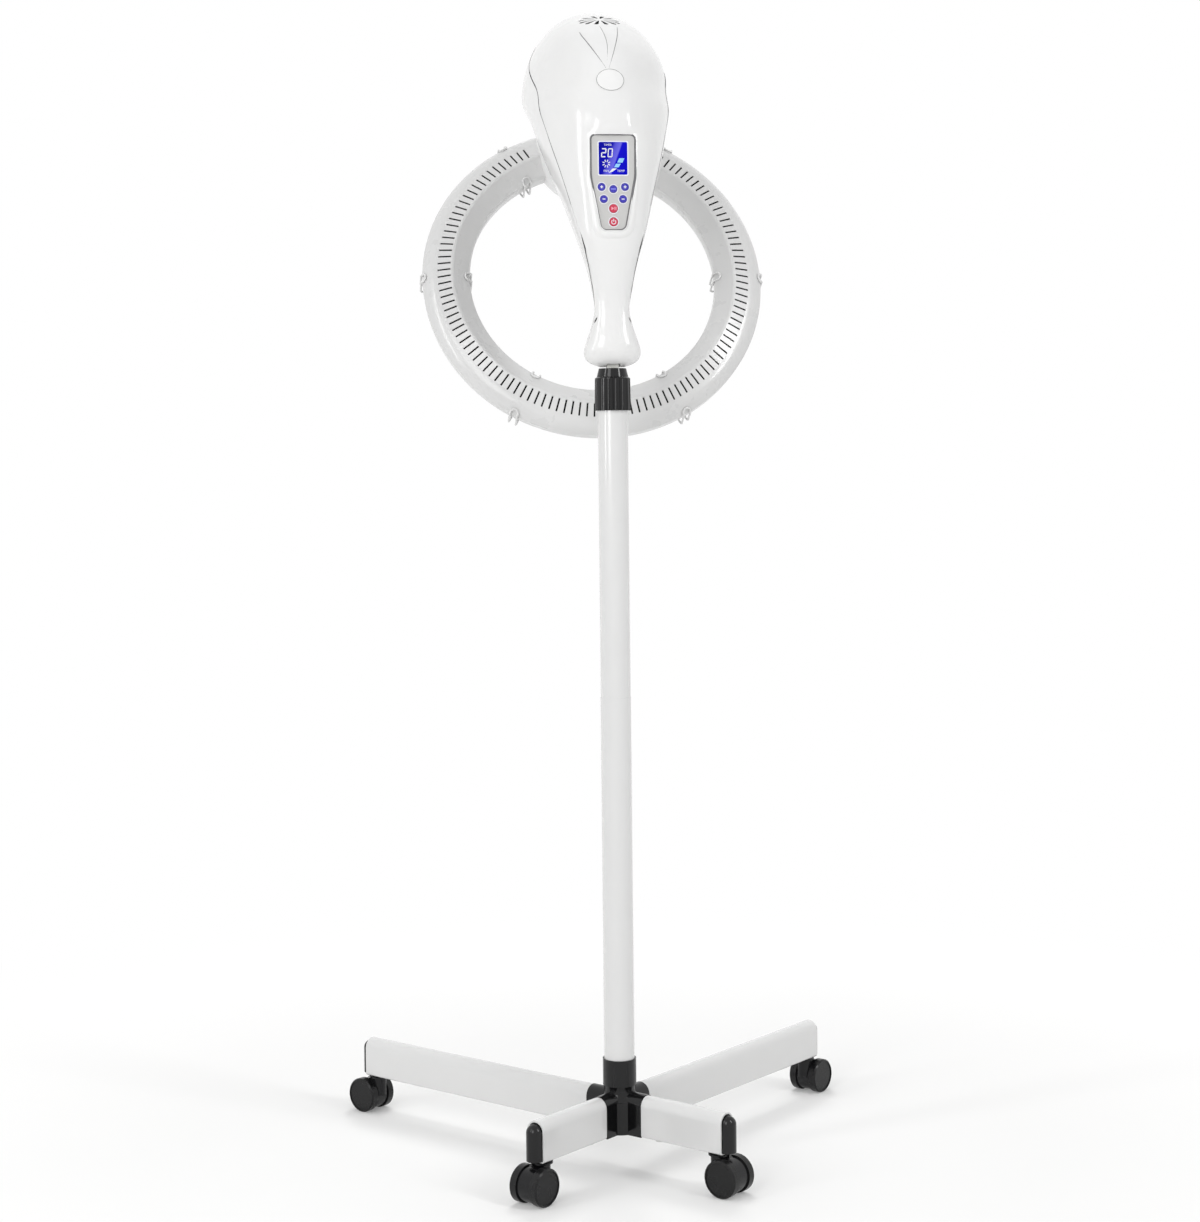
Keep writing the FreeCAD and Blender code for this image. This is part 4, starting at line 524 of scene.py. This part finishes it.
def make_seam_shade():
    """A dark bead in the parting line between the covers, one run on each side: painted shade of the gap."""
    skin = surface("front_cover", "rear_cover")
    for name, side in (("left", -1), ("right", 1)):
        run = []
        for along, up in smooth_run(SEAM, 10):
            depths = {}
            for step in range(-12, 13):
                start = at(side * 300.0, along + 0.15 * step, up)
                hit = skin.ray_cast(start, Vector((-side, 0, 0)))[0]
                depths[start.y] = hit.x * side if hit else 0.0
            shell = sorted(depths.values())[len(depths) // 2]
            gap = [y for y, depth in depths.items() if depth < shell - 1.5 * MM] or [along * MM]
            run.append(Vector((side * (shell - 0.25 * MM), sum(gap) / len(gap), up * MM)))
        count = len(run)
        radii = [0.72 * min(1.0, 0.4 + 8.0 * min(n, count - 1 - n) / count) for n in range(count)]
        bead("seam_" + name, run, radii, "head", "seam_shade_grey", sides=8)


VENT_PLACE, VENT_LEAN, VENT_PETALS = at(0.0, 108.0, 1436.4), math.radians(21.5), 12
PETAL_ROOT, PETAL_TIP = 7.4, 24.1


def make_crown_vent_shade():
    """A dark sheet under the crown's petal-shaped vents, swelling up into each petal: painted shade that makes the
    vents read dark.
    """
    skin = surface("front_cover")
    out = Vector((0, -math.sin(VENT_LEAN), math.cos(VENT_LEAN)))
    along = Vector((0, math.cos(VENT_LEAN), math.sin(VENT_LEAN)))
    radii = (2.0, 8.0, 14.0, 20.0, 25.0, 29.5)

    def spot(radius, angle, height):
        return VENT_PLACE + MM * (radius * (math.cos(angle) * Vector((1, 0, 0)) + math.sin(angle) * along)
                                  + height * out)

    ribs = []
    for petal in range(VENT_PETALS):
        angle = 2 * math.pi * petal / VENT_PETALS
        hits = [skin.ray_cast(spot(radius, angle, 60.0), -out)[0] for radius in radii]
        ribs.append([(hit - VENT_PLACE).dot(out) / MM for hit in hits])

    bm = bmesh.new()
    decks = [[[bm.verts.new(spot(radius, 2 * math.pi * petal / VENT_PETALS, ribs[petal][ring] - drop))
               for petal in range(VENT_PETALS)] for ring, radius in enumerate(radii)] for drop in (3.2, 4.2)]
    for rows in decks:
        bm.faces.new(rows[0])
        for low, high in zip(rows, rows[1:]):
            for petal in range(VENT_PETALS):
                after = (petal + 1) % VENT_PETALS
                bm.faces.new((low[petal], low[after], high[after], high[petal]))
    for petal in range(VENT_PETALS):
        after = (petal + 1) % VENT_PETALS
        bm.faces.new((decks[0][-1][petal], decks[0][-1][after], decks[1][-1][after], decks[1][-1][petal]))

    def skin_height(radius, petal):
        """The skin over a petal, from the ribs on its two sides."""
        ring = max(n for n in range(len(radii) - 1) if radii[n] <= radius)
        share = (radius - radii[ring]) / (radii[ring + 1] - radii[ring])
        sides = (ribs[petal], ribs[(petal + 1) % VENT_PETALS])
        return sum(rib[ring] + share * (rib[ring + 1] - rib[ring]) for rib in sides) / 2

    for petal in range(VENT_PETALS):
        angle = 2 * math.pi * (petal + 0.5) / VENT_PETALS
        outline = circle(PETAL_ROOT, 0.0, 0.75, 6, 1.0, 95.0, 170.0)
        outline += circle(PETAL_TIP, 0.0, 2.75, 10, 1.0, -85.0, 170.0)
        loops = []
        for drop in (3.5, 0.3):
            loops.append([bm.verts.new(spot(math.hypot(x, y), angle + math.atan2(y, x),
                                            skin_height(math.hypot(x, y), petal) - drop)) for x, y in outline])
        count = len(outline)
        bm.faces.new(loops[0][::-1])
        bm.faces.new(loops[1])
        for number in range(count):
            after = (number + 1) % count
            bm.faces.new((loops[0][number], loops[0][after], loops[1][after], loops[1][number]))
    piece("crown_vent_shade", bm, "head", "felt_black")


# The neck's slits: where they lie, how they turn and lean, and the size of the dark pads of painted shade in them.
SLIT_ACROSS, SLIT_ALONG, SLIT_UP = 20.9, -10.5, 1061.0
SLIT_TURN, SLIT_TIP = math.radians(50.0), math.radians(30.0)
SLIT_HALF_HEIGHT, SLIT_HALF_SPAN = 4.5, 1.1


def make_neck_slit_shade():
    """Dark pads in the neck's slanted slits, ending just under the skin: painted shade that makes the slits read dark.
    """
    skin = surface("front_cover")
    for name, side in (("left", -1), ("right", 1)):
        turn = (Matrix.Rotation(side * SLIT_TURN, 3, "Z")
                @ Matrix.Rotation(-side * SLIT_TIP, 3, "Y"))
        base, inward = at(side * SLIT_ACROSS, SLIT_ALONG, SLIT_UP), turn @ Vector((0, 1, 0))
        bm = bmesh.new()
        loops = [[], []]
        levels = [SLIT_HALF_HEIGHT * math.sin(math.pi * (n / 8 - 0.5)) for n in range(9)]
        outline = [(SLIT_HALF_SPAN * (1 - (level / SLIT_HALF_HEIGHT) ** 2), level) for level in levels]
        outline += [(-across, level) for across, level in outline[-2:0:-1]]
        for across, level in outline:
            depths = []
            for beside in (-2.3, 2.3):
                start = base + turn @ at(beside, -20.0, level)
                depths.append((skin.ray_cast(start, inward)[0] - base).dot(inward) / MM)
            for loop, sink in zip(loops, (0.25, 2.7)):
                loop.append(bm.verts.new(base + turn @ at(across, sum(depths) / 2 + sink, level)))
        count = len(outline)
        bm.faces.new(loops[0])
        bm.faces.new(loops[1][::-1])
        for number in range(count):
            after = (number + 1) % count
            bm.faces.new((loops[0][number], loops[0][after], loops[1][after], loops[1][number]))
        piece("neck_slit_shade_" + name, bm, "head", "felt_black")


def make_panel_brow():
    """The soft swell of the cover that rolls down to the panel's upper edge."""
    skin = surface("front_cover")
    bm = bmesh.new()
    rows = []
    for level in range(25):
        up = PANEL_TOP + 0.8 + 48.0 * (level / 24) ** 1.4
        climb = min(1.0, (up - PANEL_TOP) / 17.0)
        settle = max(0.0, (up - PANEL_TOP - 17.0) / 31.8)
        swell = 3.4 * math.sin(climb * math.pi / 2) * (0.5 + 0.5 * math.cos(math.pi * settle))
        row = []
        for step in range(33):
            share = step / 16 - 1
            across = share * (PANEL_HALF + 9.0)
            edge = 0.5 + 0.5 * math.cos(math.pi * max(0.0, (abs(share) - 0.45) / 0.55))
            row.append(bm.verts.new(on_cover(skin, across, up) - Vector((0, (swell * edge - 0.12) * MM, 0))))
        rows.append(row)
    for low, high in zip(rows, rows[1:]):
        for step in range(32):
            bm.faces.new((low[step], low[step + 1], high[step + 1], high[step]))
    piece("panel_brow", bm, "head", "white_gloss", smooth=True)


def make_badge_rim():
    skin = surface("badge_plate")
    low, high = box_of("badge_plate")
    rim = []
    flat = (high.z - low.z - 0.8) / (high.x - low.x - 0.8)
    for x, z in circle(0.0, (low.z + high.z) / 2, high.x - 0.4, 72, flat):
        rim.append(on_cover(skin, x, z, 0.05))
    bead("badge_rim", rim, [0.28] * len(rim), "head", "crease_grey", sides=8, closed=True)


make_screen()
make_key_marks()
make_cover_lines()
make_panel_trim()
make_panel_brow()
make_seam_shade()
make_crown_vent_shade()
make_neck_slit_shade()
make_badge_rim()


# ----------------------------------------------------------------------- inside the ring

RING_CENTRE, RING_LEAN = at(0.0, 211.5, 1129.0), math.radians(22.8)
RING_UP = Vector((0, math.sin(RING_LEAN), math.cos(RING_LEAN)))
RING_OUT = Vector((0, -math.cos(RING_LEAN), math.sin(RING_LEAN)))
SLOT_COUNT, SLOT_PITCH, SLOT_HALF_WIDTH = 113, 2.775, 1.05


def in_ring(radius, angle, height):
    """A place in the ring: radius and height in mm, the angle from its right side."""
    return RING_CENTRE + MM * (radius * (math.cos(angle) * Vector((1, 0, 0)) + math.sin(angle) * RING_UP)
                               + height * RING_OUT)


def make_slot_shade():
    """A dark strip that lies behind the ring's slots: painted shade that makes the slots read dark."""
    bm = bmesh.new()
    profile = ((187.0, 18.0), (207.2, 11.7), (206.8, 10.5), (186.6, 16.8))
    rows = []
    for step in range(161):
        angle = math.radians(-90.0 - 158.0 + 316.0 * step / 160)
        rows.append([bm.verts.new(in_ring(radius, angle, height)) for radius, height in profile])
    for low, high in zip(rows, rows[1:]):
        for side in range(4):
            bm.faces.new((low[side], low[(side + 1) % 4], high[(side + 1) % 4], high[side]))
    bm.faces.new(rows[0])
    bm.faces.new(rows[-1][::-1])
    for slot in range(SLOT_COUNT):
        angle = math.radians(-90.0 + SLOT_PITCH * (slot - (SLOT_COUNT - 1) / 2))
        make_shade_tongue(bm, angle)
    piece("slot_shade", bm, "halo", "felt_black")


def make_shade_tongue(bm, angle):
    """One dark tongue of that painted shade, standing up into a slot and ending under its rim."""
    sides = []
    for offset in (-SLOT_HALF_WIDTH, SLOT_HALF_WIDTH):
        loop = []
        for radius, height in ((190.0, 16.6), (190.0, 20.4), (206.0, 15.2), (206.0, 11.6)):
            turn = angle + offset / radius
            loop.append(bm.verts.new(in_ring(radius, turn, height)))
        sides.append(loop)
    bm.faces.new(sides[0])
    bm.faces.new(sides[1][::-1])
    for corner in range(4):
        after = (corner + 1) % 4
        bm.faces.new((sides[0][corner], sides[0][after], sides[1][after], sides[1][corner]))


make_slot_shade()


# ------------------------------------------------------------------ floor and backdrop

def make_floor():
    """A pale floor that keeps the soft shadows and turns to plain white further out."""
    bm = bmesh.new()
    bmesh.ops.create_grid(bm, x_segments=8, y_segments=8, size=9.0)
    mesh = bpy.data.meshes.new("floor")
    bm.to_mesh(mesh)
    bm.free()
    floor = bpy.data.objects.new("floor", mesh)
    bpy.context.scene.collection.objects.link(floor)
    material = bpy.data.materials.new("floor")
    material.use_nodes = True
    tree = material.node_tree
    bsdf = tree.nodes["Principled BSDF"]
    place = add(tree, "TexCoord").outputs["Object"]
    tone = spread(tree, noise(tree, place, 3.0), 0.0, 1.0)
    tree.links.new(blend_colours(tree, tone, (0.88, 0.88, 0.875), (0.87, 0.87, 0.865)), bsdf.inputs["Base Color"])
    bsdf.inputs["Roughness"].default_value = 0.9
    bsdf.inputs["Specular IOR Level"].default_value = 0.0
    distance = add(tree, "VectorMath", operation="LENGTH")
    tree.links.new(place, distance.inputs[0])
    seen = seen_ray(tree)
    share = fade_out(tree, distance.outputs["Value"], 0.16, 1.0)
    shown = add(tree, "Math", operation="MULTIPLY")
    tree.links.new(share, shown.inputs[0])
    tree.links.new(seen, shown.inputs[1])
    glow = add(tree, "Emission")
    tree.links.new(fade_out(tree, distance.outputs["Value"], 1.15, 1.0), glow.inputs["Strength"])
    mix = add(tree, "MixShader")
    tree.links.new(shown.outputs["Value"], mix.inputs["Fac"])
    tree.links.new(bsdf.outputs["BSDF"], mix.inputs[1])
    tree.links.new(glow.outputs["Emission"], mix.inputs[2])
    tree.links.new(mix.outputs["Shader"], tree.nodes["Material Output"].inputs["Surface"])
    mesh.materials.append(material)


def fade_out(tree, distance, near, far):
    """A value that turns from near to far over the floor round the stand."""
    node = add(tree, "MapRange", interpolation_type="SMOOTHSTEP", From_Min=0.5, From_Max=1.6,
               To_Min=near, To_Max=far)
    tree.links.new(distance, node.inputs["Value"])
    return node.outputs["Result"]


def seen_ray(tree):
    """1 for rays that show the surroundings: camera, glossy and transmission rays."""
    path = add(tree, "LightPath")
    total = path.outputs["Is Camera Ray"]
    for name in ("Is Glossy Ray", "Is Transmission Ray"):
        node = add(tree, "Math", operation="MAXIMUM")
        tree.links.new(total, node.inputs[0])
        tree.links.new(path.outputs[name], node.inputs[1])
        total = node.outputs["Value"]
    return total


def make_world():
    world = bpy.data.worlds.new("studio")
    world.use_nodes = True
    bpy.context.scene.world = world
    tree = world.node_tree
    ambient = tree.nodes["Background"]
    ambient.inputs["Color"].default_value = (1, 1, 1, 1)
    side = add(tree, "VectorMath", operation="DOT_PRODUCT")
    side.inputs[1].default_value = (-0.80, -0.45, 0.40)
    tree.links.new(add(tree, "TexCoord").outputs["Generated"], side.inputs[0])
    level = add(tree, "MapRange", From_Min=-1.0, From_Max=1.0, To_Min=0.36, To_Max=0.57)
    tree.links.new(side.outputs["Value"], level.inputs["Value"])
    tree.links.new(level.outputs["Result"], ambient.inputs["Strength"])
    backdrop = add(tree, "Background", Strength=1.0, Color=(1, 1, 1, 1))
    mix = add(tree, "MixShader")
    tree.links.new(seen_ray(tree), mix.inputs["Fac"])
    tree.links.new(ambient.outputs["Background"], mix.inputs[1])
    tree.links.new(backdrop.outputs["Background"], mix.inputs[2])
    tree.links.new(mix.outputs["Shader"], tree.nodes["World Output"].inputs["Surface"])


def make_light(name, place, target, width, height, power, mirrored=True):
    """A soft lamp that faces its target; one that isn't mirrored leaves no glint in the coat."""
    light = bpy.data.lights.new(name, "AREA")
    light.shape = "RECTANGLE"
    light.size, light.size_y = width, height
    light.energy = power
    lamp = bpy.data.objects.new(name, light)
    bpy.context.scene.collection.objects.link(lamp)
    lamp.visible_glossy = mirrored
    lamp.location = place
    lamp.rotation_euler = (Vector(target) - Vector(place)).to_track_quat("-Z", "Y").to_euler()


def make_camera():
    """The camera from its turn, fall and roll in radians."""
    turn, fall, roll = -0.1123, 0.04, -0.0105
    ahead = Vector((-math.sin(turn) * math.cos(fall), math.cos(turn) * math.cos(fall), -math.sin(fall)))
    right = Vector((math.cos(turn), math.sin(turn), 0))
    up = right.cross(ahead)
    across = math.cos(roll) * right + math.sin(roll) * up
    upward = math.cos(roll) * up - math.sin(roll) * right
    data = bpy.data.cameras.new("camera")
    data.lens, data.sensor_width = 65.41, 36.0
    data.shift_x, data.shift_y = 0.0, -0.05
    camera = bpy.data.objects.new("camera", data)
    bpy.context.scene.collection.objects.link(camera)
    turned = Matrix((across, upward, -ahead)).transposed().to_4x4()
    camera.matrix_world = Matrix.Translation((-0.3263, -2.7354, 0.8878)) @ turned
    bpy.context.scene.camera = camera


make_floor()
make_world()
make_light("key", (-1.9, -2.8, 1.9), (0, 0.1, 0.9), 1.3, 2.2, 34.0)
make_light("right", (2.1, -1.8, 2.4), (0, 0.1, 1.0), 0.45, 1.8, 32.0)
make_light("left", (-2.2, -0.9, 1.7), (0, 0.1, 0.9), 0.25, 1.8, 12.0)
make_light("back", (0.4, 2.6, 3.3), (0, 0, 0.4), 1.2, 1.2, 40.0, mirrored=False)
make_light("top", (0.1, 0.9, 6.0), (0, 0.1, 0.6), 1.6, 1.6, 36.0, mirrored=False)
make_camera()
bpy.context.scene.view_settings.view_transform = "Standard"
